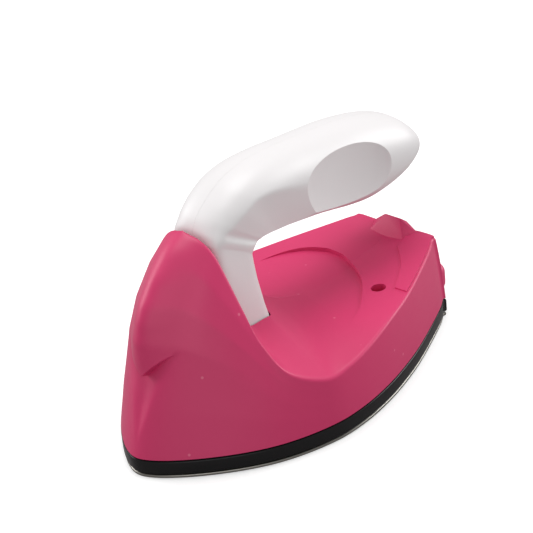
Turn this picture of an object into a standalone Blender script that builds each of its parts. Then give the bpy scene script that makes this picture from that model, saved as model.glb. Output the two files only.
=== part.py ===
# Mini craft iron, modelled in metres with +Z up, the nose towards -Y and the sole's underside at z = 0.
# The user's left side of the iron is +X. Nearly every piece is mirrored or placed about the plane x = 0.

import bpy
import bmesh
from math import cos, pi, radians, sin
from mathutils import Matrix, Vector
from mathutils.bvhtree import BVHTree

mm = 0.001

# Driving dimensions of the whole iron
shell_length = 84.6 * mm
shell_width = 52.0 * mm
prow_height = 46.7 * mm
deck_height = 18.0 * mm
shell_wall = 2.0 * mm
fit_gap = 0.3 * mm
cut_overrun = 3.0 * mm
merge_distance = 0.01 * mm

# The sole, and the black band above its edge
sole_edge_height = 0.7 * mm
sole_inset = 0.1 * mm
sole_body_top = 4.6 * mm
sole_body_inset = 4.9 * mm
sole_edge_round = 0.3 * mm
band_top = 4.0 * mm
band_proud = 0.1 * mm
tray_lip_thickness = 1.3 * mm

# The handle
handle_length = 67.6 * mm
handle_height = 54.4 * mm
grip_half_width = 9.3 * mm
neck_foot_half_width = 7.2 * mm
neck_top_half_width = 6.4 * mm
neck_length = 14.6 * mm
neck_top = 36.9 * mm
foot_height = 13.6 * mm
hood_lip = 2.2 * mm
seam_gap = 0.3 * mm
handle_wall = 1.8 * mm

# Outline of the shell's bottom edge from the nose to the heel, half of it:
# shares of the half width and of the half length
base_outline_shares = [
    (0.0, -1.016), (0.158, -0.983), (0.35, -0.896), (0.534, -0.785), (0.684, -0.674), (0.812, -0.551),
    (0.914, -0.404), (0.985, -0.236), (1.0, -0.095), (0.981, 0.066), (0.917, 0.272), (0.789, 0.532),
    (0.579, 0.846), (0.478, 0.965), (0.43, 1.0), (0.0, 1.0),
]

# Outline of the rim at the same stations: over the prow's arch, down its side and along the deck.
# Shares of the half width, of the half length and of the prow's rise above the deck
rim_outline_shares = [
    (0.0, -0.54, 1.0), (0.15, -0.522, 0.965), (0.27, -0.505, 0.86), (0.375, -0.497, 0.68),
    (0.49, -0.492, 0.47), (0.62, -0.484, 0.248), (0.79, -0.424, 0.01), (0.94, -0.262, -0.115),
    (0.968, -0.105, -0.1), (0.948, 0.066, -0.062), (0.88, 0.275, -0.018), (0.75, 0.52, -0.002),
    (0.53, 0.832, 0.027), (0.43, 0.945, 0.044), (0.385, 0.985, 0.038), (0.0, 0.985, 0.027),
]

# Centre line of the deck at the same stations: shares of the half length and of the same rise,
# then how hollow the deck is between this line and the rim, 1 for straight
spine_shares = [
    (-0.539, 1.0, 1.0), (-0.515, 0.871, 1.0), (-0.492, 0.732, 1.0), (-0.463, 0.575, 1.0),
    (-0.4255, 0.418, 1.0), (-0.378, 0.32, 1.0), (-0.2955, 0.265, 1.0), (-0.165, 0.262, 1.0),
    (0.005, 0.09, 1.4), (0.154, -0.005, 1.4), (0.319, -0.049, 1.1), (0.544, -0.042, 1.0),
    (0.82, -0.01, 1.0), (0.931, 0.007, 1.0), (0.965, 0.017, 1.0), (0.985, 0.027, 1.0),
]
neck_front = -spine_shares[0][0] * shell_length / 2 - hood_lip

# How far a rib of the shell's side has leaned in at a share of its height: at the nose below and above
# the beak's edge, at the beak's outer corners, and on the flanks
nose_low_shares = [(0.0, 0.0), (0.12, 0.065), (0.3, 0.175), (0.45, 0.3), (0.6, 0.4), (1.0, 1.0)]
nose_high_shares = [(0.0, 0.0), (0.396, 0.215), (0.48, 0.205), (0.57, 0.21), (0.67, 0.27), (0.735, 0.34),
                    (0.845, 0.53), (0.947, 0.78), (1.0, 1.0)]
corner_lean_shares = [(0.0, 0.0), (0.25, 0.13), (0.5, 0.28), (0.58, 0.325), (0.75, 0.49), (0.9, 0.74),
                      (1.0, 1.0)]
flank_lean_shares = [(0.0, 0.0), (0.25, 0.16), (0.5, 0.38), (0.75, 0.66), (1.0, 1.0)]

# The beak's lower edge as stations and shares of height, and the height of its small step
beak_edge_shares = [(0.0, 0.396), (0.12, 0.58), (0.3, 0.5), (1.0, 0.45)]
beak_step_share = 0.012
beak_corner_share = 0.12
lean_end_share = 0.4

# The hollowed facet under the beak: its crease climbs from the nose to the beak's corner
facet_depth = 0.9 * mm
facet_rise_shares = (0.06, 0.58)

shell_columns = 46
rows_below_edge = 6
rows_above_edge = 6
deck_rows = 8

# Handle stations from the shoulder to the tip. Each is the outer and the inner point of the side view,
# in shares of the handle's length behind the neck's front and of its rise above the neck's top, then the
# half width as a share of the grip's, the roundness of the section's upper and lower half, and its flat
# under-facet: how far it draws the lower side in, and how high in the section it starts
handle_station_shares = [
    (0.001, 0.371, 0.168, 0.000, 0.69, 6.0, 6.0, 0.0, 0.0),
    (0.009, 0.509, 0.183, 0.114, 0.75, 3.4, 6.0, 0.04, 0.6),
    (0.034, 0.651, 0.204, 0.149, 0.80, 2.8, 6.0, 0.10, 0.5),
    (0.081, 0.789, 0.232, 0.154, 0.86, 2.6, 6.0, 0.15, 0.48),
    (0.145, 0.914, 0.275, 0.137, 0.90, 2.5, 6.0, 0.17, 0.5),
    (0.228, 0.983, 0.327, 0.109, 0.91, 2.4, 5.4, 0.20, 0.36),
    (0.334, 0.983, 0.393, 0.051, 0.91, 2.3, 4.4, 0.19, 0.15),
    (0.445, 0.943, 0.467, -0.034, 0.92, 2.2, 3.2, 0.10, 0.0),
    (0.549, 0.897, 0.546, -0.131, 0.96, 2.2, 2.5, 0.02, 0.0),
    (0.645, 0.851, 0.623, -0.217, 0.99, 2.2, 2.2, 0.0, 0.0),
    (0.734, 0.783, 0.704, -0.263, 1.00, 2.2, 2.2, 0.0, 0.0),
    (0.822, 0.691, 0.793, -0.246, 0.97, 2.2, 2.2, 0.0, 0.0),
    (0.896, 0.566, 0.874, -0.189, 0.88, 2.2, 2.2, 0.0, 0.0),
    (0.956, 0.377, 0.941, -0.086, 0.69, 2.1, 2.1, 0.0, 0.0),
    (0.988, 0.234, 0.979, 0.017, 0.41, 2.0, 2.0, 0.0, 0.0),
]
handle_tip_shares = (1.000, 0.131)
handle_rings = 30
handle_side_count = 15


def clear_scene():
    for item in list(bpy.data.objects):
        bpy.data.objects.remove(item, do_unlink=True)


def new_collection(name):
    collection = bpy.data.collections.new(name)
    bpy.context.scene.collection.children.link(collection)
    return collection


clear_scene()
iron_parts = new_collection("mini_craft_iron")
iron_cutters = new_collection("cutters")


def new_material(name, colour, roughness, metallic=0.0):
    material = bpy.data.materials.new(name)
    material.use_nodes = True
    shader = material.node_tree.nodes["Principled BSDF"]
    shader.inputs["Base Color"].default_value = (*colour, 1.0)
    shader.inputs["Roughness"].default_value = roughness
    shader.inputs["Metallic"].default_value = metallic
    material.diffuse_color = (*colour, 1.0)
    return material


pink_plastic = new_material("pink_plastic", (0.68, 0.07, 0.2), 0.45)
white_plastic = new_material("white_plastic", (0.82, 0.8, 0.8), 0.4)
black_plastic = new_material("black_plastic", (0.015, 0.015, 0.016), 0.3)
sole_metal = new_material("sole_metal", (0.6, 0.59, 0.57), 0.35, 1.0)
screw_steel = new_material("screw_steel", (0.55, 0.55, 0.56), 0.35, 1.0)
brass_metal = new_material("brass_metal", (0.78, 0.58, 0.28), 0.3, 1.0)
mica_sheet = new_material("mica_sheet", (0.55, 0.47, 0.33), 0.5)
red_lens = new_material("red_lens", (0.6, 0.02, 0.02), 0.15)
seal_resin = new_material("seal_resin", (0.75, 0.72, 0.62), 0.5)
red_sleeve = new_material("red_sleeve", (0.5, 0.04, 0.03), 0.5)
blue_sleeve = new_material("blue_sleeve", (0.05, 0.1, 0.4), 0.5)


def finish_object(mesh_object, material, smooth_angle=35.0):
    mesh_object.data.materials.append(material)
    mesh_object.data.shade_smooth()
    mesh_object.data.set_sharp_from_angle(angle=radians(smooth_angle))
    return mesh_object


def mesh_from_faces(name, points, faces):
    """A new object from points and faces, its doubled points merged and its faces turned outwards."""
    mesh = bpy.data.meshes.new(name)
    mesh.from_pydata(points, [], faces)
    work = bmesh.new()
    work.from_mesh(mesh)
    bmesh.ops.remove_doubles(work, verts=work.verts, dist=merge_distance)
    bmesh.ops.dissolve_degenerate(work, edges=work.edges, dist=merge_distance)
    bmesh.ops.recalc_face_normals(work, faces=work.faces)
    if work.calc_volume(signed=True) < 0:
        bmesh.ops.reverse_faces(work, faces=work.faces)
    work.to_mesh(mesh)
    work.free()
    item = bpy.data.objects.new(name, mesh)
    iron_parts.objects.link(item)
    return item


def as_cutter(item):
    """Keeps an object that only shapes others out of the finished iron."""
    for collection in list(item.users_collection):
        collection.objects.unlink(item)
    iron_cutters.objects.link(item)
    item.hide_render = True
    item.display_type = "WIRE"
    return item


def boolean(item, cutter, operation="DIFFERENCE"):
    as_cutter(cutter)
    modifier = item.modifiers.new(operation.lower(), "BOOLEAN")
    modifier.operation = operation
    modifier.solver = "EXACT"
    modifier.object = cutter
    return item


def box(name, low, high):
    work = bmesh.new()
    bmesh.ops.create_cube(work, size=1.0)
    size = Vector(high) - Vector(low)
    bmesh.ops.scale(work, vec=size, verts=work.verts)
    bmesh.ops.translate(work, vec=(Vector(high) + Vector(low)) / 2, verts=work.verts)
    mesh = bpy.data.meshes.new(name)
    work.to_mesh(mesh)
    work.free()
    item = bpy.data.objects.new(name, mesh)
    iron_parts.objects.link(item)
    return item


def cylinder(name, start, end, radius, sides=20, end_radius=None):
    """A round bar or cone between two points."""
    start, end = Vector(start), Vector(end)
    along = end - start
    work = bmesh.new()
    bmesh.ops.create_cone(work, cap_ends=True, segments=sides, radius1=radius,
                          radius2=radius if end_radius is None else end_radius, depth=along.length)
    turn = Vector((0, 0, 1)).rotation_difference(along).to_matrix().to_4x4()
    bmesh.ops.transform(work, matrix=Matrix.Translation((start + end) / 2) @ turn, verts=work.verts)
    mesh = bpy.data.meshes.new(name)
    work.to_mesh(mesh)
    work.free()
    item = bpy.data.objects.new(name, mesh)
    iron_parts.objects.link(item)
    return item


def mix(a, b, share):
    return a + (b - a) * share


def along_table(table, place, even=False):
    """Reads a smooth curve through the table's rows at place, from 0 at the first row to 1 at the last.

    An even table goes on mirrored beyond its first row, so its curve is level there."""
    last = len(table) - 1
    at = min(max(place, 0.0), 1.0) * last
    i = min(int(at), last - 1)
    t = at - i
    row = []
    for column in range(len(table[0])):
        p1, p2 = table[i][column], table[i + 1][column]
        start = (-p2 if column == 0 else p2) if even else p1 + (p1 - p2)
        p0 = table[i - 1][column] if i > 0 else start
        p3 = table[i + 2][column] if i + 2 <= last else p2 + (p2 - p1)
        rise_1, rise_2 = (p2 - p0) / 2, (p3 - p1) / 2
        row.append(p1 * (2 * t**3 - 3 * t**2 + 1) + rise_1 * (t**3 - 2 * t**2 + t)
                   + p2 * (3 * t**2 - 2 * t**3) + rise_2 * (t**3 - t**2))
    return row


def between_rows(table, place):
    """The second value of a table of pairs, read in straight lines at the first value."""
    for (a, value_a), (b, value_b) in zip(table, table[1:]):
        if place <= b:
            return mix(value_a, value_b, (place - a) / (b - a))
    return table[-1][1]


def smoothstep(share):
    share = min(max(share, 0.0), 1.0)
    return share * share * (3 - 2 * share)


# Top shell: the pink housing, lofted between its bottom outline, its rim and the deck's centre line

shell_bottom = band_top + fit_gap


def base_point(place, inset=0.0):
    """A point of the bottom outline, drawn in towards the middle by inset."""
    x, y = along_table(base_outline_shares, place, even=True)
    return Vector((x * (shell_width / 2 - inset), min(y, 1.0) * (shell_length / 2 - inset)))


def rise_point(x_share, y_share, z_share):
    height = deck_height + z_share * (prow_height - deck_height)
    return Vector((x_share * shell_width / 2, y_share * shell_length / 2, height))


def rim_point(place):
    return rise_point(*along_table(rim_outline_shares, place, even=True))


def rib_lean(place, up, below_edge):
    """How far in the side leans at a station and a share of its height."""
    nose = between_rows(nose_low_shares if below_edge else nose_high_shares, up)
    corner = between_rows(corner_lean_shares, up)
    near = mix(nose, corner, smoothstep(place / beak_corner_share))
    far = smoothstep((place - beak_corner_share) / (lean_end_share - beak_corner_share))
    return mix(near, between_rows(flank_lean_shares, up), far)


def facet_recess(place, up):
    """How far back the facet under the beak is hollowed."""
    start, end = facet_rise_shares
    climb = (up - start) / (end - start)
    crease = beak_corner_share * climb
    if climb <= 0 or place >= crease:
        return 0.0
    return facet_depth * smoothstep(climb * 2) * smoothstep(1 - place / crease)


def rib_points(place):
    """The shell's side at one station, from the bottom edge up to the rim."""
    foot, rim = base_point(place), rim_point(place)
    edge = between_rows(beak_edge_shares, place)
    heights = [(edge - beak_step_share) * row / rows_below_edge for row in range(rows_below_edge + 1)]
    heights += [edge + (1 - edge) * row / rows_above_edge for row in range(rows_above_edge + 1)]
    points = []
    for row, up in enumerate(heights):
        below_edge = row <= rows_below_edge
        lean = rib_lean(place, up, below_edge)
        point = Vector((mix(foot.x, rim.x, lean), mix(foot.y, rim.y, lean), mix(shell_bottom, rim.z, up)))
        point.y += facet_recess(place, up) if below_edge else 0.0
        points.append(point)
    return points


def deck_point(place, across):
    """A point of the deck between the rim, across 0, and the centre line, across 1."""
    spine_y, spine_z, hollow = along_table(spine_shares, place)
    rim, spine = rim_point(place), rise_point(0.0, spine_y, spine_z)
    point = rim.lerp(spine, across)
    point.z = mix(rim.z, spine.z, across ** max(hollow, 1.0))
    return point


def deck_points(place, rows):
    return [deck_point(place, row / rows) for row in range(1, rows + 1)]


def loft_columns(name, columns, closed=False):
    """Joins columns of points into one half that is open on the plane x = 0, and mirrors it."""
    points = [point for column in columns for point in column]
    height = len(columns[0])
    faces = []
    for i in range(len(columns) - 1):
        for j in range(height if closed else height - 1):
            a, b = i * height + j, i * height + (j + 1) % height
            faces.append((a, b, b + height, a + height))
    item = mesh_from_faces(name, points, faces)
    mirror = item.modifiers.new("both_sides", "MIRROR")
    mirror.merge_threshold = merge_distance
    return item


def loft_rings(name, rings):
    """A closed body through rings of points, capped at both ends."""
    points = [point for ring in rings for point in ring]
    height = len(rings[0])
    faces = [tuple(range(height)), tuple(range(len(points) - height, len(points)))]
    for i in range(len(rings) - 1):
        for j in range(height):
            a, b = i * height + j, i * height + (j + 1) % height
            faces.append((a, b, b + height, a + height))
    return mesh_from_faces(name, points, faces)


def shell_form(name):
    columns = []
    for column in range(shell_columns + 1):
        place = column / shell_columns
        floor = Vector((0.0, base_point(place).y, shell_bottom))
        columns.append([floor] + rib_points(place) + deck_points(place, deck_rows))
    return loft_columns(name, columns)


core_columns = 30
core_rows = 5
core_ceiling = 34.0 * mm


def inner_point(point):
    """A point of the deck or rim, drawn in by the wall."""
    narrow = 1 - shell_wall / (shell_width / 2)
    return Vector((point.x * narrow, point.y - shell_wall, min(point.z - shell_wall, core_ceiling)))


def core_column(place):
    """The hollow inside the shell at one station: its side, then the underside of its deck."""
    foot, rim = base_point(place, shell_wall), rim_point(place)
    inner_rim = inner_point(rim)
    points = [Vector((0.0, foot.y, shell_bottom - cut_overrun)), Vector((*foot, shell_bottom - cut_overrun))]
    for row in range(core_rows + 1):
        z = mix(shell_bottom, inner_rim.z, row / core_rows)
        lean = rib_lean(place, (z - shell_bottom) / (rim.z - shell_wall - shell_bottom), True)
        points.append(Vector((mix(foot.x, inner_rim.x, lean), mix(foot.y, inner_rim.y, lean), z)))
    return points + [inner_point(point) for point in deck_points(place, core_rows)]


def core_form():
    return loft_columns("shell_core", [core_column(i / core_columns) for i in range(core_columns + 1)])


# The handle: one loft from the foot up through the neck to the tip


def under_facet(up, power, facet, edge):
    """The half width's share that the flat under-facet leaves at a height of the section."""
    if facet <= 0 or up >= edge:
        return 1.0
    return (1 - edge ** power) ** (1 / power) - facet * (edge - up) / (1 + edge)


def handle_section(outer, inner, half_width, powers, side_count, grow=0.0, facet=0.0, edge=0.0):
    """Half a rounded section from its inner point round the side to its outer point.

    The powers are the roundness of its upper and lower half, higher for squarer."""
    centre = (outer + inner) / 2
    reach = (outer - inner) / 2
    reach = reach * (1 + grow / reach.length) if reach.length > 0 else reach
    half = []
    for i in range(side_count):
        turn = mix(-pi / 2, pi / 2, i / (side_count - 1))
        power = powers[0] if turn > 0 else powers[1]
        up = (1 if turn > 0 else -1) * abs(sin(turn)) ** (2 / power)
        share = min(max(cos(turn), 0.0) ** (2 / power), under_facet(up, powers[0], facet, edge))
        out = (half_width + grow) * share
        half.append(Vector((out, centre.y + reach.y * up, centre.z + reach.z * up)))
    return half


def handle_point(y_share, z_share):
    return Vector((0.0, -neck_front + y_share * handle_length,
                   neck_top + z_share * (handle_height - neck_top)))


neck_foot_power = 10.0
neck_top_power = 6.0
neck_sweep_shares = [(0.0, 0.04), (0.25, 0.03), (0.5, -0.01), (0.75, -0.02), (0.9, -0.01), (0.985, 0.0)]


def neck_sections(side_count, grow=0.0):
    """The flat-sided neck from the foot up to the shoulder."""
    top_outer = handle_point(*handle_station_shares[0][:2])
    top_inner = handle_point(*handle_station_shares[0][2:4])
    foot_outer = Vector((0.0, -neck_front, foot_height - grow))
    foot_inner = foot_outer + Vector((0.0, neck_length, 0.0))
    sections = []
    for share, sweep in neck_sweep_shares:
        outer = foot_outer.lerp(top_outer, share)
        inner = foot_inner.lerp(top_inner, share)
        inner.y += sweep * neck_length
        half_width = mix(neck_foot_half_width, neck_top_half_width, share)
        power = mix(neck_foot_power, neck_top_power, smoothstep(share))
        sections.append(handle_section(outer, inner, half_width, (power, power), side_count, grow))
    return sections


def handle_sections(rings, side_count, grow=0.0):
    sections = neck_sections(side_count, grow)
    for ring in range(rings + 1):
        row = along_table(handle_station_shares, ring / rings)
        outer, inner = handle_point(*row[:2]), handle_point(*row[2:4])
        width = grip_half_width * row[4]
        facet, edge = max(row[7], 0.0), max(row[8], 0.0)
        sections.append(handle_section(outer, inner, width, row[5:7], side_count, grow, facet, edge))
    tip = handle_point(*handle_tip_shares)
    tip.y += grow
    sections.append([tip.copy() for _ in range(side_count)])
    return sections


def handle_form(name, grow=0.0):
    columns = handle_sections(handle_rings, handle_side_count, grow)
    foot = [Vector((0.0, point.y, point.z)) for point in columns[0]]
    return loft_columns(name, [foot] + columns)


# Details of the shell: crescent step, tail panel, hump, lamp hole, dock boss and inner rails

# The step's outline from its front ends back to the apex: shares of the half length, then of the half
# width on the right and on the left
crescent_outline_shares = [
    (0.09, -0.66, 0.65), (0.19, -0.66, 0.6), (0.28, -0.655, 0.54), (0.37, -0.64, 0.44), (0.44, -0.61, 0.35),
    (0.51, -0.56, 0.24), (0.57, -0.49, 0.11), (0.61, -0.41, 0.0), (0.64, -0.31, -0.12), (0.645, -0.25, -0.19),
]
crescent_depth = 1.0 * mm
crescent_fade_share = 0.23
crescent_fade_slope = 0.3
crescent_steps = 8
panel_lift = 0.35 * mm
panel_sink = 1.2 * mm
panel_across_shares = [(0.727, 0.2), (0.748, 0.245), (0.769, 0.33), (0.785, 0.46), (0.8, 0.6), (0.96, 0.62)]
panel_edge_share = 0.03
panel_columns = 10
hump_outline_shares = [(0.19, 0.89, 0.0), (0.08, 0.955, 0.135), (0.12, 0.983, 0.1), (0.25, 0.983, 0.02)]
lamp_spot_shares = (0.48, 0.469)
lamp_hole_radius = 1.65 * mm
heel_half_width = base_outline_shares[-2][0] * shell_width / 2
dock_side = 0.2 * mm
dock_half_width = heel_half_width - dock_side
dock_top = 11.4 * mm
dock_proud = 3.0 * mm
dock_depth = 6.4 * mm
dock_rear = shell_length / 2 + dock_proud
dock_front = dock_rear - dock_depth
dock_wall = 0.9 * mm
dock_round = 2.2 * mm
socket_side = 2.8 * mm
socket_half_width = dock_half_width - socket_side
socket_gap = 0.2 * mm
post_side = 0.8 * mm
post_outer = dock_half_width - post_side
rail_share = 0.396
rail_width = 1.4 * mm
rail_inner = rail_share * shell_width / 2
rail_outer = rail_inner + rail_width
rail_setback = 0.6 * mm
rail_front = neck_front - rail_setback
rail_rear_share = 0.213
rail_rear = rail_rear_share * shell_length / 2
rail_bottom = 13.5 * mm
rail_top = 17.6 * mm
cutter_top = 26.0 * mm


def deck_tree():
    """The deck as a tree of faces, to read its height at a spot."""
    points, faces = [], []
    height = deck_rows + 1
    for column in range(shell_columns + 1):
        points += [deck_point(column / shell_columns, row / deck_rows) for row in range(height)]
    for column in range(shell_columns):
        for row in range(deck_rows):
            a = column * height + row
            faces.append((a, a + 1, a + height + 1, a + height))
    return BVHTree.FromPolygons(points, faces)


def deck_level(tree, x, y):
    hit = tree.ray_cast(Vector((abs(x) + merge_distance, y, prow_height)), Vector((0, 0, -1)))
    return hit[0].z


def crescent_ring(tree, y_share, left, right):
    """One cut line across the crescent: its floor sinks below the deck towards the apex."""
    y = y_share * shell_length / 2
    apex = crescent_outline_shares[-1][0] * shell_length / 2
    floor = []
    for step in range(crescent_steps + 1):
        x = mix(left, right, step / crescent_steps) * shell_width / 2
        fade = crescent_fade_share * shell_length / 2 - crescent_fade_slope * x
        share = max((y - fade) / (apex - fade), -0.3)
        floor.append(Vector((x, y, deck_level(tree, x, y) - crescent_depth * share)))
    return floor + [Vector((floor[-1].x, y, cutter_top)), Vector((floor[0].x, y, cutter_top))]


def crescent_cutter():
    tree = deck_tree()
    return loft_rings("crescent_cutter", [crescent_ring(tree, *row) for row in crescent_outline_shares])


def panel_ring(place):
    inner = between_rows(panel_across_shares, place)
    across = [panel_edge_share, mix(panel_edge_share, inner, 0.5), inner]
    top = [deck_point(place, share) + Vector((0.0, 0.0, panel_lift)) for share in across]
    low = [deck_point(place, share) - Vector((0.0, 0.0, panel_sink)) for share in reversed(across)]
    return top + low


def tail_panel():
    """The raised panel between the deck and the rim at the tail, on the left side only."""
    first, last = panel_across_shares[0][0], panel_across_shares[-1][0]
    rings = [panel_ring(mix(first, last, i / panel_columns)) for i in range(panel_columns + 1)]
    return loft_rings("tail_panel", rings)


def hull(name, points):
    """The tightest closed body round a few points."""
    work = bmesh.new()
    for point in points:
        work.verts.new(point)
    result = bmesh.ops.convex_hull(work, input=work.verts)
    inside = [vert for vert in result["geom_interior"] if isinstance(vert, bmesh.types.BMVert)]
    bmesh.ops.delete(work, geom=inside, context="VERTS")
    mesh = bpy.data.meshes.new(name)
    work.to_mesh(mesh)
    work.free()
    item = bpy.data.objects.new(name, mesh)
    iron_parts.objects.link(item)
    return item


def tail_hump():
    points = []
    for x, y, z in hump_outline_shares:
        for side in (-1, 1):
            point = rise_point(side * x, y, z)
            points += [point, Vector((point.x, point.y, deck_height - panel_sink))]
    return hull("tail_hump", points)


def dock_boss():
    bottom = shell_bottom + fit_gap
    boss = box("dock_boss", (-dock_half_width, dock_front, bottom), (dock_half_width, dock_rear, dock_top))
    bevel = boss.modifiers.new("corners", "BEVEL")
    bevel.width = dock_round
    bevel.segments = 3
    bevel.limit_method = "ANGLE"
    return boss


def dock_slot():
    reach = socket_half_width + socket_gap
    return box("dock_slot", (-reach, dock_front - cut_overrun, shell_bottom - cut_overrun),
               (reach, dock_rear + cut_overrun, dock_top - dock_wall))


def foot_rail(name, side):
    xs = sorted((side * rail_inner, side * rail_outer))
    return box(name, (xs[0], -rail_front, rail_bottom), (xs[1], -rail_rear, rail_top))


def lamp_spot(z):
    return Vector((lamp_spot_shares[0] * shell_width / 2, lamp_spot_shares[1] * shell_length / 2, z))


screw_radius = 0.9 * mm
screw_hole_radius = 1.2 * mm
rear_screw_inset = 1.9 * mm
rear_screw_spot = post_outer - rear_screw_inset
rear_screw_height = 13.6 * mm


def rear_screw_point(side, y):
    return Vector((side * rear_screw_spot, y, rear_screw_height))


def make_top_shell():
    shell = shell_form("top_shell")
    boolean(shell, dock_boss(), "UNION")
    boolean(shell, core_form())
    boolean(shell, tail_panel(), "UNION")
    boolean(shell, tail_hump(), "UNION")
    boolean(shell, crescent_cutter())
    boolean(shell, foot_rail("left_rail", 1), "UNION")
    boolean(shell, foot_rail("right_rail", -1), "UNION")
    boolean(shell, handle_form("handle_slot", fit_gap))
    boolean(shell, dock_slot())
    boolean(shell, cylinder("lamp_hole", lamp_spot(deck_height - shell_wall * 3), lamp_spot(cutter_top),
                            lamp_hole_radius))
    for side in (-1, 1):
        start, end = rear_screw_point(side, dock_front), rear_screw_point(side, dock_rear)
        boolean(shell, cylinder("rear_hole", start, end, screw_hole_radius, 12))
    return finish_object(shell, pink_plastic, 28.0)


top_shell = make_top_shell()


# Handle halves: the loft split at the centre seam, hollowed, with screw bosses and thumb scoops

handle_screw_shares = [(0.16, 0.62), (0.83, 0.16)]
boss_radius = 3.2 * mm
boss_reach = 5.6 * mm
head_radius = 1.9 * mm
head_height = 1.2 * mm
head_floor = 4.4 * mm
counterbore_radius = 2.2 * mm
cavity_first_share = 0.07
cavity_last_share = 0.93
cavity_rings = 12
cavity_side_count = 9
scoop_wall = 2.4 * mm
scoop_centre_shares = (0.558, 0.34)
scoop_offset = 10.4 * mm
scoop_reach = (4.0 * mm, 14.3 * mm, 14.0 * mm)
scoop_tilt = radians(-7)
foot_screw_x = 3.6 * mm
foot_screw_y = neck_length / 2 - neck_front
foot_screw_top = 20.0 * mm


def handle_cavity():
    """The hollow of the grip, with thicker side walls where the scoops cut in."""
    columns = []
    for ring in range(cavity_rings + 1):
        place = mix(cavity_first_share, cavity_last_share, ring / cavity_rings)
        row = along_table(handle_station_shares, place)
        outer, inner = handle_point(*row[:2]), handle_point(*row[2:4])
        half_width = grip_half_width * row[4] - scoop_wall
        powers = (row[5], row[5])
        columns.append(handle_section(outer, inner, half_width, powers, cavity_side_count, -handle_wall))
    ends = []
    for column in (columns[0], columns[-1]):
        centre = (column[0] + column[-1]) / 2
        ends.append([centre.copy() for _ in column])
    return loft_columns("handle_cavity", [ends[0]] + columns + [ends[1]])


def scoop_cutter(side):
    work = bmesh.new()
    bmesh.ops.create_uvsphere(work, u_segments=28, v_segments=18, radius=1.0)
    bmesh.ops.scale(work, vec=Vector(scoop_reach), verts=work.verts)
    centre = handle_point(*scoop_centre_shares)
    centre.x = side * scoop_offset
    turn = Matrix.Rotation(scoop_tilt, 4, "X")
    bmesh.ops.transform(work, matrix=Matrix.Translation(centre) @ turn, verts=work.verts)
    mesh = bpy.data.meshes.new("thumb_scoop")
    work.to_mesh(mesh)
    work.free()
    item = bpy.data.objects.new("thumb_scoop", mesh)
    iron_parts.objects.link(item)
    return item


def seam_cutter(side):
    far = handle_length
    xs = sorted((side * seam_gap / 2, -side * far))
    return box("seam_cutter", (xs[0], -far, 0.0), (xs[1], far, far))


def handle_screw_points():
    return [handle_point(*shares) for shares in handle_screw_shares]


def handle_half(name, side):
    half = handle_form(name)
    boolean(half, handle_cavity())
    for point in handle_screw_points():
        end = point + Vector((side * boss_reach, 0, 0))
        boolean(half, cylinder("handle_boss", point, end, boss_radius), "UNION")
        depth = boss_reach - handle_wall if side > 0 else boss_reach * 2
        start, end = point - Vector((side * fit_gap, 0, 0)), point + Vector((side * depth, 0, 0))
        boolean(half, cylinder("handle_screw_hole", start, end, screw_hole_radius, 12))
        if side < 0:
            floor = point - Vector((head_floor, 0, 0))
            end = floor - Vector((boss_reach, 0, 0))
            boolean(half, cylinder("counterbore", floor, end, counterbore_radius, 16))
    foot = Vector((side * foot_screw_x, foot_screw_y, foot_height - fit_gap))
    top = Vector((foot.x, foot.y, foot_screw_top))
    boolean(half, cylinder("foot_screw_hole", foot, top, screw_hole_radius, 12))
    boolean(half, scoop_cutter(side))
    boolean(half, seam_cutter(side))
    return finish_object(half, white_plastic)


handle_left = handle_half("handle_left", 1)
handle_right = handle_half("handle_right", -1)


# Screws: a domed head on a shank, the shank pointing the way it is driven


def screw(name, head, way, shank_length, head_size=head_radius, shank=screw_radius):
    """A screw whose head's underside is at head."""
    head, way = Vector(head), Vector(way)
    item = cylinder(name, head - way * head_height, head, head_size * 0.8, 16, head_size)
    start, end = head - way * head_height / 2, head + way * shank_length
    boolean(item, cylinder(name + "_shank", start, end, shank, 12), "UNION")
    boolean(item, cylinder(name + "_drive", head - way * head_height * 1.5, head - way * head_height / 2,
                           head_size * 0.4, 6))
    return finish_object(item, screw_steel)


handle_screw_length = 8.0 * mm
foot_screw_length = 8.2 * mm
foot_plate_low = 12.0 * mm
foot_plate_high = 13.2 * mm
foot_plate_margin = 0.8 * mm
foot_plate_half_width = rail_outer + foot_plate_margin
foot_plate_front = rail_front + foot_plate_margin / 2
foot_plate_rear = rail_rear - foot_plate_margin

for name, point in zip(("handle_screw_front", "handle_screw_rear"), handle_screw_points()):
    screw(name, point - Vector((head_floor + socket_gap, 0, 0)), (1, 0, 0), handle_screw_length)


def make_foot_plate():
    plate = box("foot_plate", (-foot_plate_half_width, -foot_plate_front, foot_plate_low),
                (foot_plate_half_width, -foot_plate_rear, foot_plate_high))
    for side in (-1, 1):
        low = Vector((side * foot_screw_x, foot_screw_y, foot_plate_low - cut_overrun))
        high = Vector((low.x, low.y, foot_plate_high + cut_overrun))
        boolean(plate, cylinder("plate_hole", low, high, screw_hole_radius, 12))
    return finish_object(plate, screw_steel)


foot_plate = make_foot_plate()
for name, side in (("foot_screw_left", 1), ("foot_screw_right", -1)):
    under = (side * foot_screw_x, foot_screw_y, foot_plate_low - socket_gap)
    screw(name, under, (0, 0, 1), foot_screw_length - head_height)


# Soleplate, with bosses for the tray's screws, the heater's clamp and the thermostat's strap

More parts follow.
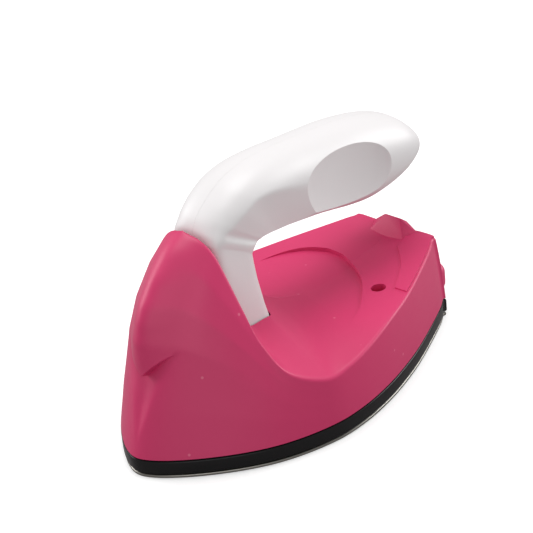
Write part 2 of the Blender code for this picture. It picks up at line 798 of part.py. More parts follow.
sole_columns = 60
tray_inset = 4.5 * mm
inner_half_width = shell_width / 2 - tray_inset
ear_share = 0.641
ear_place = ear_share * inner_half_width / (shell_width / 2)
tray_boss_shares = {"front": (0.0, -0.71), "left": (ear_place, 0.465), "right": (-ear_place, 0.465)}
clamp_boss_shares = {"front": (0.0, -0.38), "rear": (0.0, 0.42)}
strap_boss_shares = (-0.06, 0.64)
boss_width = 2.5 * mm
tray_boss_top = 5.6 * mm
clamp_boss_top = 7.3 * mm
strap_boss_width = 2.0 * mm
strap_boss_top = 9.2 * mm
screw_floor = 2.0 * mm


def spot(shares, z):
    return Vector((shares[0] * shell_width / 2, shares[1] * shell_length / 2, z))


def sole_places():
    """Stations round the sole's outline, with the straight heel taken in one step."""
    last_bend = 1 - 1 / (len(base_outline_shares) - 1)
    return [last_bend * i / sole_columns for i in range(sole_columns + 1)] + [1.0]


def sole_column(place):
    edge, rounded = base_point(place, sole_inset), base_point(place, sole_inset + sole_edge_round)
    body = base_point(place, sole_body_inset)
    return [Vector((0.0, rounded.y, 0.0)), Vector((*rounded, 0.0)), Vector((*edge, sole_edge_round)),
            Vector((*edge, sole_edge_height)), Vector((*body, sole_edge_height)),
            Vector((*body, sole_body_top)), Vector((0.0, body.y, sole_body_top))]


def sole_boss(sole, shares, top, width):
    base = spot(shares, sole_body_top - sole_edge_height)
    boolean(sole, cylinder("sole_boss", base, spot(shares, top), width, 18), "UNION")
    start, end = spot(shares, screw_floor), spot(shares, top + cut_overrun)
    boolean(sole, cylinder("sole_boss_hole", start, end, screw_hole_radius, 12))


def make_soleplate():
    sole = loft_columns("soleplate", [sole_column(place) for place in sole_places()])
    for shares in tray_boss_shares.values():
        sole_boss(sole, shares, tray_boss_top, boss_width)
    for shares in clamp_boss_shares.values():
        sole_boss(sole, shares, clamp_boss_top, boss_width)
    sole_boss(sole, strap_boss_shares, strap_boss_top, strap_boss_width)
    return finish_object(sole, sole_metal)


soleplate = make_soleplate()


# Insulator tray: the black band, a lip inside the shell, ears over the sole's bosses and rear posts

tray_bottom = sole_edge_height + fit_gap
lip_inset = 3.1 * mm
lip_top = 6.6 * mm
ear_low = tray_boss_top + fit_gap
ear_high = 7.6 * mm
ear_half = 2.7 * mm
lip_share = 0.825
lip_lap = 1.0 * mm
lip_reach = lip_share * (shell_width / 2 - lip_inset) - lip_lap
post_width = 3.9 * mm
post_inner = post_outer - post_width
post_step = socket_half_width + socket_gap + fit_gap
post_depth = 2.1 * mm
post_foot_depth = 1.0 * mm
post_rear = dock_front
post_front = post_rear - post_depth
post_foot_front = post_rear - post_foot_depth
post_shelf = 10.7 * mm
post_top = 15.4 * mm


def tray_column(place):
    inner, outer = base_point(place, tray_inset), base_point(place, -band_proud)
    lip = base_point(place, lip_inset)
    return [Vector((*inner, tray_bottom)), Vector((*outer, tray_bottom)), Vector((*outer, band_top)),
            Vector((*lip, band_top)), Vector((*lip, lip_top)), Vector((*inner, lip_top))]


def tray_ear(name):
    """An ear from the lip in over one of the sole's bosses."""
    centre = spot(tray_boss_shares[name], 0.0)
    low, high = Vector((centre.x - ear_half, centre.y - ear_half, ear_low)), \
        Vector((centre.x + ear_half, centre.y + ear_half, ear_high))
    if name == "front":
        low.y = -shell_length / 2 + lip_inset + tray_lip_thickness / 2
    elif name == "left":
        high.x = lip_reach
    else:
        low.x = -lip_reach
    return box("tray_ear", low, high)


def tray_post(tray, side):
    """A post behind the dock socket: a slim foot, and above it the block the rear screw bites in."""
    foot = sorted((side * post_step, side * post_outer))
    block = sorted((side * post_inner, side * post_outer))
    boolean(tray, box("post_foot", (foot[0], post_foot_front, band_top - fit_gap),
                      (foot[1], post_rear, post_shelf + fit_gap)), "UNION")
    boolean(tray, box("post_block", (block[0], post_front, post_shelf),
                      (block[1], post_rear, post_top)), "UNION")


def make_tray():
    columns = [tray_column(place) for place in sole_places()]
    tray = loft_columns("insulator_tray", columns, closed=True)
    for name in tray_boss_shares:
        boolean(tray, tray_ear(name), "UNION")
    for side in (-1, 1):
        tray_post(tray, side)
    reach = socket_half_width + socket_gap
    boolean(tray, box("tray_socket_slot", (-reach, dock_front - cut_overrun, band_top + socket_gap),
                      (reach, dock_rear, lip_top + cut_overrun)))
    for shares in tray_boss_shares.values():
        boolean(tray, cylinder("ear_hole", spot(shares, tray_boss_top), spot(shares, ear_high + cut_overrun),
                               screw_hole_radius, 12))
    for side in (-1, 1):
        boolean(tray, cylinder("post_hole", rear_screw_point(side, post_front - fit_gap),
                               rear_screw_point(side, post_rear + fit_gap), screw_hole_radius, 12))
    return finish_object(tray, black_plastic)


insulator_tray = make_tray()
tray_screw_length = 4.8 * mm
for name, shares in tray_boss_shares.items():
    screw("tray_screw_" + name, spot(shares, ear_high + socket_gap), (0, 0, -1), tray_screw_length)
rear_screw_length = 5.6 * mm
for name, side in (("rear_screw_left", 1), ("rear_screw_right", -1)):
    screw(name, rear_screw_point(side, shell_length / 2 + socket_gap), (0, -1, 0), rear_screw_length)


# Heater pack: mica sheet, resistance plate, mica sheet and a clamp bar held by two screws

heater_side = 11.0 * mm
heater_gap = 0.9 * mm
heater_half_width = shell_width / 2 - heater_side
heater_front = clamp_boss_shares["front"][1] * shell_length / 2 + boss_width + heater_gap
heater_rear = clamp_boss_shares["rear"][1] * shell_length / 2 - boss_width - heater_gap
mica_low = 4.9 * mm
mica_thickness = 0.3 * mm
heater_low = 5.5 * mm
heater_high = 6.6 * mm
mica_high = 6.9 * mm
mica_margin = 0.6 * mm
clamp_low = 7.6 * mm
clamp_high = 8.6 * mm
clamp_half_width = 4.4 * mm
clamp_margin = 2.6 * mm
clamp_screw_length = 4.6 * mm


def plate(name, half_width, front, rear, low, high, material):
    item = box(name, (-half_width, front, low), (half_width, rear, high))
    return finish_object(item, material)


mica_half_width = heater_half_width + mica_margin
mica_front = heater_front - mica_margin
mica_rear = heater_rear + mica_margin
plate("mica_sheet_lower", mica_half_width, mica_front, mica_rear,
      mica_low, mica_low + mica_thickness, mica_sheet)
plate("heater_element", heater_half_width, heater_front, heater_rear, heater_low, heater_high, sole_metal)
plate("mica_sheet_upper", mica_half_width, mica_front, mica_rear,
      mica_high, mica_high + mica_thickness, mica_sheet)


def make_clamp():
    front, rear = spot(clamp_boss_shares["front"], 0.0), spot(clamp_boss_shares["rear"], 0.0)
    clamp = box("heater_clamp", (-clamp_half_width, front.y - clamp_margin, clamp_low),
                (clamp_half_width, rear.y + clamp_margin, clamp_high))
    for shares in clamp_boss_shares.values():
        start, end = spot(shares, clamp_boss_top), spot(shares, clamp_high + cut_overrun)
        boolean(clamp, cylinder("clamp_hole", start, end, screw_hole_radius, 12))
    return finish_object(clamp, screw_steel)


heater_clamp = make_clamp()
for name, shares in clamp_boss_shares.items():
    screw("clamp_screw_" + name, spot(shares, clamp_high + socket_gap), (0, 0, -1), clamp_screw_length)


# Sizes of the dock socket in the heel and of its contact pins

socket_low = 4.7 * mm
socket_high = 10.2 * mm
socket_front = dock_front - fit_gap
socket_rear = dock_rear - fit_gap
socket_back_wall = 1.5 * mm
socket_wall = 0.6 * mm
pin_share = 0.55
pin_x = pin_share * socket_half_width
pin_tail = 2.8 * mm
pin_recess = 1.0 * mm
pin_front = socket_front - pin_tail
pin_rear = socket_rear - pin_recess
pin_radius = 0.9 * mm
pin_height = (socket_low + socket_high) / 2


# Thermostat: a ceramic case with a sprung contact arm inside, strapped to the sole

strap_x = strap_boss_shares[0] * shell_width / 2
strap_y = strap_boss_shares[1] * shell_length / 2
case_side_shares = (-0.505, -0.226)
case_left, case_right = (share * inner_half_width for share in case_side_shares)
case_room = 1.8 * mm
case_length = 11.4 * mm
case_rear = pin_front - case_room
case_front = case_rear - case_length
case_low = 4.9 * mm
case_high = 9.5 * mm
case_wall = 0.8 * mm
arm_setback = 2.0 * mm
arm_height = 7.6 * mm
arm_pivot = ((case_left + case_right) / 2, case_rear - arm_setback, arm_height)
arm_half_width = 1.5 * mm
arm_thickness = 0.4 * mm
arm_recess = 1.0 * mm
arm_tail = 0.4 * mm
arm_front = case_front + arm_recess
arm_rear = arm_pivot[1] + arm_tail
contact_recess = 2.1 * mm
contact_spot = (arm_pivot[0], case_front + contact_recess)
contact_low = 5.9 * mm
contact_high = 6.6 * mm
contact_radius = 0.9 * mm
post_block_front = arm_pivot[1] - arm_setback * 0.6
post_block_rear = arm_pivot[1] + arm_setback * 0.4
post_block_high = 7.2 * mm
strap_margin = 0.4 * mm
strap_half_width = 2.0 * mm
strap_left = case_left + strap_margin
strap_right = strap_x + strap_half_width
strap_front = strap_y - strap_half_width
strap_rear = strap_y + strap_half_width
strap_low = 9.7 * mm
strap_high = 10.4 * mm
strap_screw_length = 6.5 * mm


def make_case():
    case = box("thermostat_case", (case_left, case_front, case_low), (case_right, case_rear, case_high))
    boolean(case, box("case_hollow", (case_left + case_wall, case_front - cut_overrun, case_low + case_wall),
                      (case_right - case_wall, case_rear - case_wall, case_high - case_wall)))
    return finish_object(case, ceramic_white)


def make_arm():
    """The contact arm, its origin on the line it bends about."""
    x, y, z = arm_pivot
    arm = box("thermostat_arm", (-arm_half_width, arm_front - y, -arm_thickness / 2),
              (arm_half_width, arm_rear - y, arm_thickness / 2))
    arm.location = (x, y, z)
    return finish_object(arm, brass_metal)


ceramic_white = new_material("ceramic_white", (0.8, 0.77, 0.7), 0.5)
thermostat_case = make_case()
thermostat_arm = make_arm()
thermostat_contact = finish_object(
    cylinder("thermostat_contact", (*contact_spot, contact_low), (*contact_spot, contact_high),
             contact_radius, 16), brass_metal)
thermostat_post = finish_object(
    box("thermostat_post", (arm_pivot[0] - arm_half_width, post_block_front, contact_low),
        (arm_pivot[0] + arm_half_width, post_block_rear, post_block_high)), seal_resin)


def make_strap():
    strap = box("thermostat_strap", (strap_left, strap_front, strap_low),
                (strap_right, strap_rear, strap_high))
    boolean(strap, cylinder("strap_hole", spot(strap_boss_shares, strap_boss_top),
                            spot(strap_boss_shares, strap_high + cut_overrun), screw_hole_radius, 12))
    return finish_object(strap, screw_steel)


thermostat_strap = make_strap()
screw("strap_screw", spot(strap_boss_shares, strap_high + socket_gap), (0, 0, -1), strap_screw_length)


# Thermal fuse, lamp, its holder and its resistor

fuse_place_shares = (0.327, 0.544, 0.756)
fuse_x = fuse_place_shares[0] * shell_width / 2
fuse_front, fuse_rear = (share * shell_length / 2 for share in fuse_place_shares[1:])
fuse_height = 7.2 * mm
fuse_radius = 2.0 * mm
resistor_place_shares = (0.477, 0.591, 0.733)
resistor_x = resistor_place_shares[0] * shell_width / 2
resistor_front, resistor_rear = (share * shell_length / 2 for share in resistor_place_shares[1:])
resistor_height = 10.4 * mm
resistor_radius = 1.1 * mm
lamp_radius = 1.3 * mm
lamp_top = 15.9 * mm
lamp_flange_radius = 1.7 * mm
lamp_flange_low = 11.4 * mm
lamp_flange_high = 12.2 * mm
holder_radius = 2.6 * mm
holder_low = 9.9 * mm
holder_high = 12.6 * mm

thermal_fuse = finish_object(
    cylinder("thermal_fuse", (fuse_x, fuse_front, fuse_height), (fuse_x, fuse_rear, fuse_height),
             fuse_radius, 18), ceramic_white)
led_resistor = finish_object(
    cylinder("led_resistor", (resistor_x, resistor_front, resistor_height),
             (resistor_x, resistor_rear, resistor_height), resistor_radius, 14), seal_resin)


def make_lamp():
    """The lamp: a flange, a barrel and a domed end that shows in the deck's hole."""
    lamp = cylinder("indicator_led", lamp_spot(lamp_flange_low), lamp_spot(lamp_flange_high),
                    lamp_flange_radius, 20)
    barrel = cylinder("lamp_barrel", lamp_spot(lamp_flange_low + socket_gap), lamp_spot(lamp_top),
                      lamp_radius, 20)
    bevel = barrel.modifiers.new("dome", "BEVEL")
    bevel.width = lamp_radius * 0.7
    bevel.segments = 3
    bevel.limit_method = "ANGLE"
    boolean(lamp, barrel, "UNION")
    return finish_object(lamp, red_lens)


indicator_led = make_lamp()


def make_holder():
    holder = cylinder("led_holder", lamp_spot(holder_low), lamp_spot(holder_high), holder_radius, 20)
    boolean(holder, cylinder("holder_bore", lamp_spot(lamp_flange_low - socket_gap),
                             lamp_spot(holder_high + cut_overrun), lamp_flange_radius + socket_gap, 20))
    return finish_object(holder, black_plastic)


led_holder = make_holder()


# Dock socket in the heel, with its two contact pins


def make_socket():
    socket = box("socket_housing", (-socket_half_width, socket_front, socket_low),
                 (socket_half_width, socket_rear, socket_high))
    mouth = socket_half_width - socket_wall
    boolean(socket, box("socket_mouth", (-mouth, socket_front + socket_back_wall, socket_low + socket_wall),
                        (mouth, socket_rear + cut_overrun, socket_high - socket_wall)))
    for side in (-1, 1):
        boolean(socket, cylinder("pin_hole", (side * pin_x, pin_front, pin_height),
                                 (side * pin_x, pin_rear, pin_height), pin_radius + socket_gap, 14))
    return finish_object(socket, black_plastic)


socket_housing = make_socket()
for name, side in (("contact_pin_left", 1), ("contact_pin_right", -1)):
    start, end = (side * pin_x, pin_front, pin_height), (side * pin_x, pin_rear, pin_height)
    finish_object(cylinder(name, start, end, pin_radius, 14), brass_metal)


# Inner wires, each a run between the ends of the pieces it joins

wire_radius = 0.55 * mm
wire_gap = 0.4 * mm
wire_side = wire_radius + wire_gap
wire_sag = 0.3 * mm
heater_end_share = 0.3
heater_end_x = heater_end_share * shell_width / 2
heater_end_y = mica_rear + wire_side
case_end = (arm_pivot[0], case_rear + wire_side, pin_height)
lamp_end = lamp_spot(holder_high - holder_radius / 2) + Vector((0.0, holder_radius + wire_gap, 0.0))
wire_runs = {
    "wire_live": (red_sleeve, (pin_x, pin_front - wire_side, pin_height),
                  (fuse_x, fuse_rear + wire_side, fuse_height)),
    "wire_fuse": (red_sleeve, (fuse_x, fuse_front - wire_gap, fuse_height),
                  (heater_end_x, heater_end_y, heater_high)),
    "wire_heater": (blue_sleeve, (-heater_end_x, heater_end_y, heater_high),
                    (arm_pivot[0], case_front + wire_gap, arm_height)),
    "wire_neutral": (blue_sleeve, case_end, (-pin_x, pin_front - wire_side, pin_height)),
    "wire_lamp": (red_sleeve, lamp_end, (resistor_x, resistor_front - wire_side, resistor_height)),
}


def wire_points(start, end):
    """A run from start to end that bows up a little between them."""
    start, end = Vector(start), Vector(end)
    bow = Vector((0.0, 0.0, wire_sag))
    return [start, start.lerp(end, 0.3) + bow, start.lerp(end, 0.7) + bow, end]


def wire(name, points):
    """A round wire swept along a run of points."""
    curve = bpy.data.curves.new(name, "CURVE")
    curve.dimensions = "3D"
    curve.bevel_depth = wire_radius
    curve.bevel_resolution = 2
    curve.use_fill_caps = True
    spline = curve.splines.new("POLY")
    spline.points.add(len(points) - 1)
    for item, point in zip(spline.points, points):
        item.co = (*point, 1.0)
    holder = bpy.data.objects.new(name, curve)
    iron_parts.objects.link(holder)
    mesh = bpy.data.meshes.new_from_object(holder.evaluated_get(bpy.context.evaluated_depsgraph_get()))
    bpy.data.objects.remove(holder, do_unlink=True)
    work = bmesh.new()
    work.from_mesh(mesh)
    bmesh.ops.remove_doubles(work, verts=work.verts, dist=merge_distance)
    work.to_mesh(mesh)
    work.free()
    item = bpy.data.objects.new(name, mesh)
    iron_parts.objects.link(item)
    return item


for name, (material, start, end) in wire_runs.items():
    item = wire(name, wire_points(start, end))
    item.data.materials.clear()
    finish_object(item, material)
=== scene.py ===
import math

import bpy
import numpy as np
from mathutils import Matrix, Vector
from mathutils.bvhtree import BVHTree


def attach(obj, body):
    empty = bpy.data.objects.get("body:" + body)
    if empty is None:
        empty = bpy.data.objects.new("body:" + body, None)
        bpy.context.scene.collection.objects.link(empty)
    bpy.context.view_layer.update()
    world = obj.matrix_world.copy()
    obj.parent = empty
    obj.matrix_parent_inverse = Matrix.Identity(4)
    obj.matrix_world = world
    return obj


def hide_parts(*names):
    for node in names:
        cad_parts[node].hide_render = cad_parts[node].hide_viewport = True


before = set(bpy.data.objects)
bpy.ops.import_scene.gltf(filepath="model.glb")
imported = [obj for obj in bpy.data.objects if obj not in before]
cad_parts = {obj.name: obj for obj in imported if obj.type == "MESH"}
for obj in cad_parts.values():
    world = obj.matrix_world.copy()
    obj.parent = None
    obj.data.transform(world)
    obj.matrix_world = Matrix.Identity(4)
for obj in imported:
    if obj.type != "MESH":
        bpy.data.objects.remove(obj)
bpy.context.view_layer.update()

mm = 0.001
tiny = 0.01 * mm
merging = {"forms": 0.004 * mm, "copies": 0.002 * mm}     # how close points are merged
print("frame loaded:", len(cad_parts), "nodes")


# Camera, floor and lights

view = {
    "target": (-10.589 * mm, 10.441 * mm, 20 * mm),
    "azimuth": 44.493,       # from the nose towards the iron's left, in degrees
    "elevation": 28.387,
    "roll": -5.755,
    "distance": 511.67 * mm,
    "lens": 161.48,
    "sensor": 36,
    "clipStart": 10 * mm,
}

studio = {
    "ambient": 0.44,
    "gloss": 0.3,            # how bright the surroundings are in reflections
    "floorSeen": (0.68, 0.68, 0.68, 1),
    "floorBounce": (0.34, 0.33, 0.33, 1),      # the floor as a source of light on the iron
    "floorLift": 0.42,
    "floorSize": 3.0,
    # name: place, target, size, power, colour
    "lamps": {
        "topSoftbox": ((-0.05, 0.06, 0.62), (0, 0, 0.02), 0.36, 2.4, (1, 0.99, 0.985)),
        "leftSoftbox": ((-0.55, -0.22, 0.26), (0, -0.01, 0.025), 0.34, 1.8, (1, 1, 1)),
        "rightSoftbox": ((0.26, 0.6, 0.22), (0, 0.01, 0.02), 0.34, 2.3, (1, 1, 1)),
        "frontSoftbox": ((0.42, -0.42, 0.2), (0, 0, 0.02), 0.4, 0.8, (1, 1, 1)),
    },
}


def makeCamera():
    azimuth, elevation, roll = (math.radians(view[k]) for k in ("azimuth", "elevation", "roll"))
    back = Vector((math.sin(azimuth) * math.cos(elevation), -math.cos(azimuth) * math.cos(elevation),
                   math.sin(elevation)))
    right = Vector((math.cos(azimuth), math.sin(azimuth), 0))
    up = back.cross(right)
    turn = Matrix((right * math.cos(roll) + up * math.sin(roll),
                   up * math.cos(roll) - right * math.sin(roll), back))
    camera = bpy.data.objects.new("camera", bpy.data.cameras.new("camera"))
    camera.matrix_world = Matrix.Translation(Vector(view["target"]) + back * view["distance"]) \
        @ turn.transposed().to_4x4()
    camera.data.lens = view["lens"]
    camera.data.sensor_width = view["sensor"]
    camera.data.clip_start = view["clipStart"]
    bpy.context.scene.collection.objects.link(camera)
    bpy.context.scene.camera = camera


def makeLamps():
    for name, (place, target, size, power, colour) in studio["lamps"].items():
        lamp = bpy.data.objects.new(name, bpy.data.lights.new(name, "AREA"))
        lamp.data.size = size
        lamp.data.energy = power
        lamp.data.color = colour
        lamp.location = place
        lamp.rotation_euler = (Vector(target) - Vector(place)).to_track_quat("-Z", "Y").to_euler()
        bpy.context.scene.collection.objects.link(lamp)


# Shader maths: a field is a socket that can be added, multiplied and so on

class Field:
    def __init__(self, finish, socket):
        self.finish, self.socket = finish, socket

    def combine(self, operation, first, second):
        return self.finish.node("ShaderNodeMath", {"operation": operation}, {0: first, 1: second})

    def __add__(self, other):
        return self.combine("ADD", self, other)

    def __mul__(self, other):
        return self.combine("MULTIPLY", self, other)

    __radd__ = __add__
    __rmul__ = __mul__


class Finish:
    def __init__(self, tree):
        self.tree = tree
        tree.nodes.clear()

    def node(self, kind, settings=None, sockets=None, output=0):
        made = self.tree.nodes.new(kind)
        for name, value in (settings or {}).items():
            setattr(made, name, value)
        for name, value in (sockets or {}).items():
            if isinstance(value, Field):
                self.tree.links.new(value.socket, made.inputs[name])
            else:
                made.inputs[name].default_value = value
        return Field(self, made.outputs[output]) if made.outputs else None

    def place(self):
        return self.node("ShaderNodeTexCoord", output="Object")

    def light(self, path):
        return self.node("ShaderNodeLightPath", output=path)

    def noise(self, scale, detail=3, roughness=0.5):
        return self.node("ShaderNodeTexNoise", None,
                         {"Vector": self.place(), "Scale": scale, "Detail": detail, "Roughness": roughness})

    def cells(self, scale):
        return self.node("ShaderNodeTexVoronoi", {"feature": "F1"}, {"Vector": self.place(), "Scale": scale})

    def spots(self, scale, near, far):
        return self.node("ShaderNodeMapRange", {"interpolation_type": "SMOOTHSTEP"},
                         {"Value": self.cells(scale), "From Min": near, "From Max": far,
                          "To Min": 1.0, "To Max": 0.0})

    def blend(self, share, first, second):
        # sockets 6 and 7 and output 2 are the colour ones of a Mix node
        return self.node("ShaderNodeMix", {"data_type": "RGBA"}, {0: share, 6: first, 7: second}, output=2)

    def bump(self, height, strength, distance):
        return self.node("ShaderNodeBump", None,
                         {"Height": height, "Strength": strength, "Distance": distance})

    def shader(self, sockets):
        surface = self.node("ShaderNodeBsdfPrincipled", None, sockets)
        self.node("ShaderNodeOutputMaterial", None, {"Surface": surface})


def newMaterial(name):
    material = bpy.data.materials.new(name)
    material.use_nodes = True
    return material, Finish(material.node_tree)


# Moulded plastic: a broad drift of colour, tiny pale specks, and the fine grain of the mould

plastics = {
    # name: colour, drift colour, speck colour, then specks, roughness, grain height in millimetres, shine
    "pinkPlastic": ((0.6, 0.027, 0.132, 1), (0.56, 0.022, 0.114, 1), (0.85, 0.32, 0.42, 1),
                    0.3, 0.48, 0.02, 0.62),
    "whitePlastic": ((0.75, 0.733, 0.738, 1), (0.72, 0.702, 0.707, 1), (0.62, 0.6, 0.59, 1),
                     0.12, 0.42, 0.02, 0.62),
    "blackPlastic": ((0.007, 0.007, 0.008, 1), (0.012, 0.012, 0.012, 1), (0.08, 0.08, 0.08, 1),
                     0.25, 0.24, 0.015, 0.2),
    "ceramicWhite": ((0.74, 0.71, 0.64, 1), (0.66, 0.62, 0.54, 1), (0.4, 0.36, 0.3, 1),
                     0.4, 0.55, 0.03, 0.62),
    "sealResin": ((0.7, 0.66, 0.52, 1), (0.6, 0.55, 0.42, 1), (0.8, 0.78, 0.7, 1), 0.3, 0.45, 0.03, 0.62),
    "redSleeve": ((0.46, 0.03, 0.02, 1), (0.4, 0.02, 0.015, 1), (0.6, 0.2, 0.18, 1), 0.2, 0.45, 0.02, 0.62),
    "blueSleeve": ((0.03, 0.07, 0.34, 1), (0.02, 0.05, 0.26, 1), (0.2, 0.25, 0.5, 1), 0.2, 0.45, 0.02, 0.62),
}
grain = {
    # scale, detail and roughness of the two noises
    "index": 1.47, "drift": (45, 4, 0.55), "grain": (2600, 2, 0.6),
    "speckScale": 150, "speckNear": 0.03, "speckFar": 0.055,
    # how far the roughness wanders with the drift and the grain, and what is taken off for that
    "driftRough": 0.09, "grainRough": 0.05, "smoother": 0.07, "bump": 0.5,
}

metals = {
    # name: colour, dull colour, roughness, brushed along y
    "soleMetal": ((0.4, 0.385, 0.35, 1), (0.28, 0.265, 0.24, 1), 0.36, True),
    "screwSteel": ((0.6, 0.6, 0.61, 1), (0.42, 0.41, 0.4, 1), 0.32, False),
    "brassMetal": ((0.8, 0.58, 0.26, 1), (0.6, 0.4, 0.16, 1), 0.28, False),
}
metalGrain = {
    "dull": (90, 5, 0.6), "dullShare": 0.8, "brushedScale": (2400, 60, 2400), "plainScale": (900, 900, 900),
    "scratchDepth": 0.008 * mm, "dullRough": 0.16, "scratchRough": 0.12, "smoother": 0.12, "bump": 0.6,
}
# the lens is unlit: its glow is painted light, an emission of its own red, not a lamp
lens = {"colour": (0.62, 0.02, 0.02, 1), "deep": (0.4, 0.01, 0.012, 1), "glow": 0.45, "roughness": 0.12,
        "swirlRough": 0.08, "coat": 0.6, "swirlScale": 400}
mica = {"colour": (0.52, 0.43, 0.28, 1), "flake": (0.72, 0.66, 0.52, 1), "roughness": 0.35, "flakeRough": 0.2,
        "flakeScale": 500, "bump": 0.4, "flakeHeight": 0.02 * mm}


def plasticMaterial(name):
    colour, drift, speckColour, specks, roughness, grainHeight, shine = plastics[name]
    material, finish = newMaterial(name)
    broad = finish.noise(*grain["drift"])
    fine = finish.noise(*grain["grain"])
    speck = finish.spots(grain["speckScale"], grain["speckNear"], grain["speckFar"])
    base = finish.blend(broad, colour, drift)
    finish.shader({
        "Base Color": finish.blend(speck * specks, base, speckColour),
        "Roughness": broad * grain["driftRough"] + fine * grain["grainRough"]
        + (roughness - grain["smoother"]),
        "IOR": grain["index"],
        "Specular IOR Level": shine,
        "Normal": finish.bump(fine, grain["bump"], grainHeight * mm),
    })
    return material


def metalMaterial(name):
    colour, dull, roughness, brushed = metals[name]
    material, finish = newMaterial(name)
    broad = finish.noise(*metalGrain["dull"])
    stretch = metalGrain["brushedScale" if brushed else "plainScale"]
    stretched = finish.node("ShaderNodeMapping", None, {"Vector": finish.place(), "Scale": stretch})
    scratch = finish.node("ShaderNodeTexNoise", None, {"Vector": stretched, "Scale": 1.0, "Detail": 3})
    finish.shader({
        "Base Color": finish.blend(broad * metalGrain["dullShare"], colour, dull),
        "Metallic": 1.0,
        "Roughness": broad * metalGrain["dullRough"] + scratch * metalGrain["scratchRough"]
        + (roughness - metalGrain["smoother"]),
        "Normal": finish.bump(scratch, metalGrain["bump"], metalGrain["scratchDepth"]),
    })
    return material


def lensMaterial():
    material, finish = newMaterial("redLens")
    swirl = finish.noise(lens["swirlScale"], 2)
    red = finish.blend(swirl, lens["colour"], lens["deep"])
    # painted glow: the unlit lens's red is also given out as emission
    finish.shader({"Base Color": red, "Emission Color": red, "Emission Strength": lens["glow"],
                   "Roughness": swirl * lens["swirlRough"] + lens["roughness"], "Coat Weight": lens["coat"]})
    return material


def micaMaterial():
    material, finish = newMaterial("micaSheet")
    flake = finish.cells(mica["flakeScale"])
    finish.shader({"Base Color": finish.blend(flake, mica["colour"], mica["flake"]),
                   "Roughness": flake * mica["flakeRough"] + mica["roughness"],
                   "Normal": finish.bump(flake, mica["bump"], mica["flakeHeight"])})
    return material


materials = {name: plasticMaterial(name) for name in plastics}
materials.update({name: metalMaterial(name) for name in metals})
materials["redLens"] = lensMaterial()
materials["micaSheet"] = micaMaterial()


def makeFloor():
    bpy.ops.mesh.primitive_plane_add(size=studio["floorSize"])
    floor = bpy.context.object
    floor.name = "floor"
    material, finish = newMaterial("paleFloor")
    seen = finish.light("Is Camera Ray")
    glow = finish.node("ShaderNodeEmission", None,
                       {"Color": (1, 1, 1, 1), "Strength": seen * studio["floorLift"]})
    matt = finish.node("ShaderNodeBsdfDiffuse", None,
                       {"Color": finish.blend(seen, studio["floorBounce"], studio["floorSeen"])})
    both = finish.node("ShaderNodeAddShader", None, {0: matt, 1: glow})
    finish.node("ShaderNodeOutputMaterial", None, {"Surface": both})
    floor.data.materials.append(material)


def makeWorld():
    world = bpy.data.worlds.new("studio")
    bpy.context.scene.world = world
    world.use_nodes = True
    finish = Finish(world.node_tree)
    seen, gloss = finish.light("Is Camera Ray"), finish.light("Is Glossy Ray")
    through = finish.light("Is Transmission Ray")
    sky = finish.node("ShaderNodeBackground", None, {
        "Color": (1, 1, 1, 1), "Strength": (seen + through) * (1 - studio["ambient"])
        + gloss * (studio["gloss"] - studio["ambient"]) + studio["ambient"]})
    finish.node("ShaderNodeOutputWorld", None, {"Surface": sky})


makeCamera()
makeLamps()
makeFloor()
makeWorld()
bpy.context.scene.view_settings.view_transform = "Standard"
print("camera, floor and lamps are in place")


# Modelling helpers

def deselectAll():
    for item in list(bpy.context.selected_objects):
        item.select_set(False)


def activate(piece):
    deselectAll()
    piece.select_set(True)
    bpy.context.view_layer.objects.active = piece


def applyModifiers(piece):
    activate(piece)
    for modifier in list(piece.modifiers):
        bpy.ops.object.modifier_apply(modifier=modifier.name)


def bakePlace(piece):
    activate(piece)
    bpy.ops.object.transform_apply(location=True, rotation=True, scale=True)


def tidyMesh(piece, distance=merging["forms"]):
    # merges doubled points, drops flat slivers and turns the faces outwards
    activate(piece)
    bpy.ops.object.mode_set(mode="EDIT")
    bpy.ops.mesh.select_all(action="SELECT")
    bpy.ops.mesh.remove_doubles(threshold=distance)
    bpy.ops.mesh.dissolve_degenerate(threshold=distance)
    bpy.ops.mesh.normals_make_consistent(inside=False)
    bpy.ops.object.mode_set(mode="OBJECT")


def carve(piece, cutters, operation="DIFFERENCE"):
    for cutter in cutters:
        modifier = piece.modifiers.new(operation, "BOOLEAN")
        modifier.operation = operation
        modifier.solver = "EXACT"
        modifier.object = cutter
    applyModifiers(piece)
    for cutter in cutters:
        bpy.data.objects.remove(cutter)
    return piece


def addBlock(name, low, high, rounding=0.0, segments=3):
    deselectAll()
    low, high = Vector(low), Vector(high)
    bpy.ops.mesh.primitive_cube_add(size=1, location=(low + high) / 2)
    block = bpy.context.object
    block.name = name
    block.scale = high - low
    bakePlace(block)
    if rounding:
        bpy.ops.object.mode_set(mode="EDIT")
        bpy.ops.mesh.select_all(action="SELECT")
        bpy.ops.mesh.bevel(offset=rounding, segments=segments, affect="EDGES")
        bpy.ops.object.mode_set(mode="OBJECT")
    return block


def addRound(name, start, end, radius, sides=48):
    deselectAll()
    start, end = Vector(start), Vector(end)
    along = end - start
    bpy.ops.mesh.primitive_cone_add(vertices=sides, radius1=radius, radius2=radius, depth=along.length,
                                    location=(start + end) / 2,
                                    rotation=along.to_track_quat("Z", "Y").to_euler())
    made = bpy.context.object
    made.name = name
    bakePlace(made)
    return made


def gridOf(columns):
    return np.array([[tuple(point) for point in column] for column in columns], float)


def addLoft(name, columns):
    # a grid whose points are then set on the form, one column after another
    deselectAll()
    bpy.ops.mesh.primitive_grid_add(x_subdivisions=len(columns[0]) - 1, y_subdivisions=len(columns) - 1)
    piece = bpy.context.object
    piece.name = name
    piece.data.vertices.foreach_set("co", gridOf(columns).reshape(-1))
    piece.data.update()
    return piece


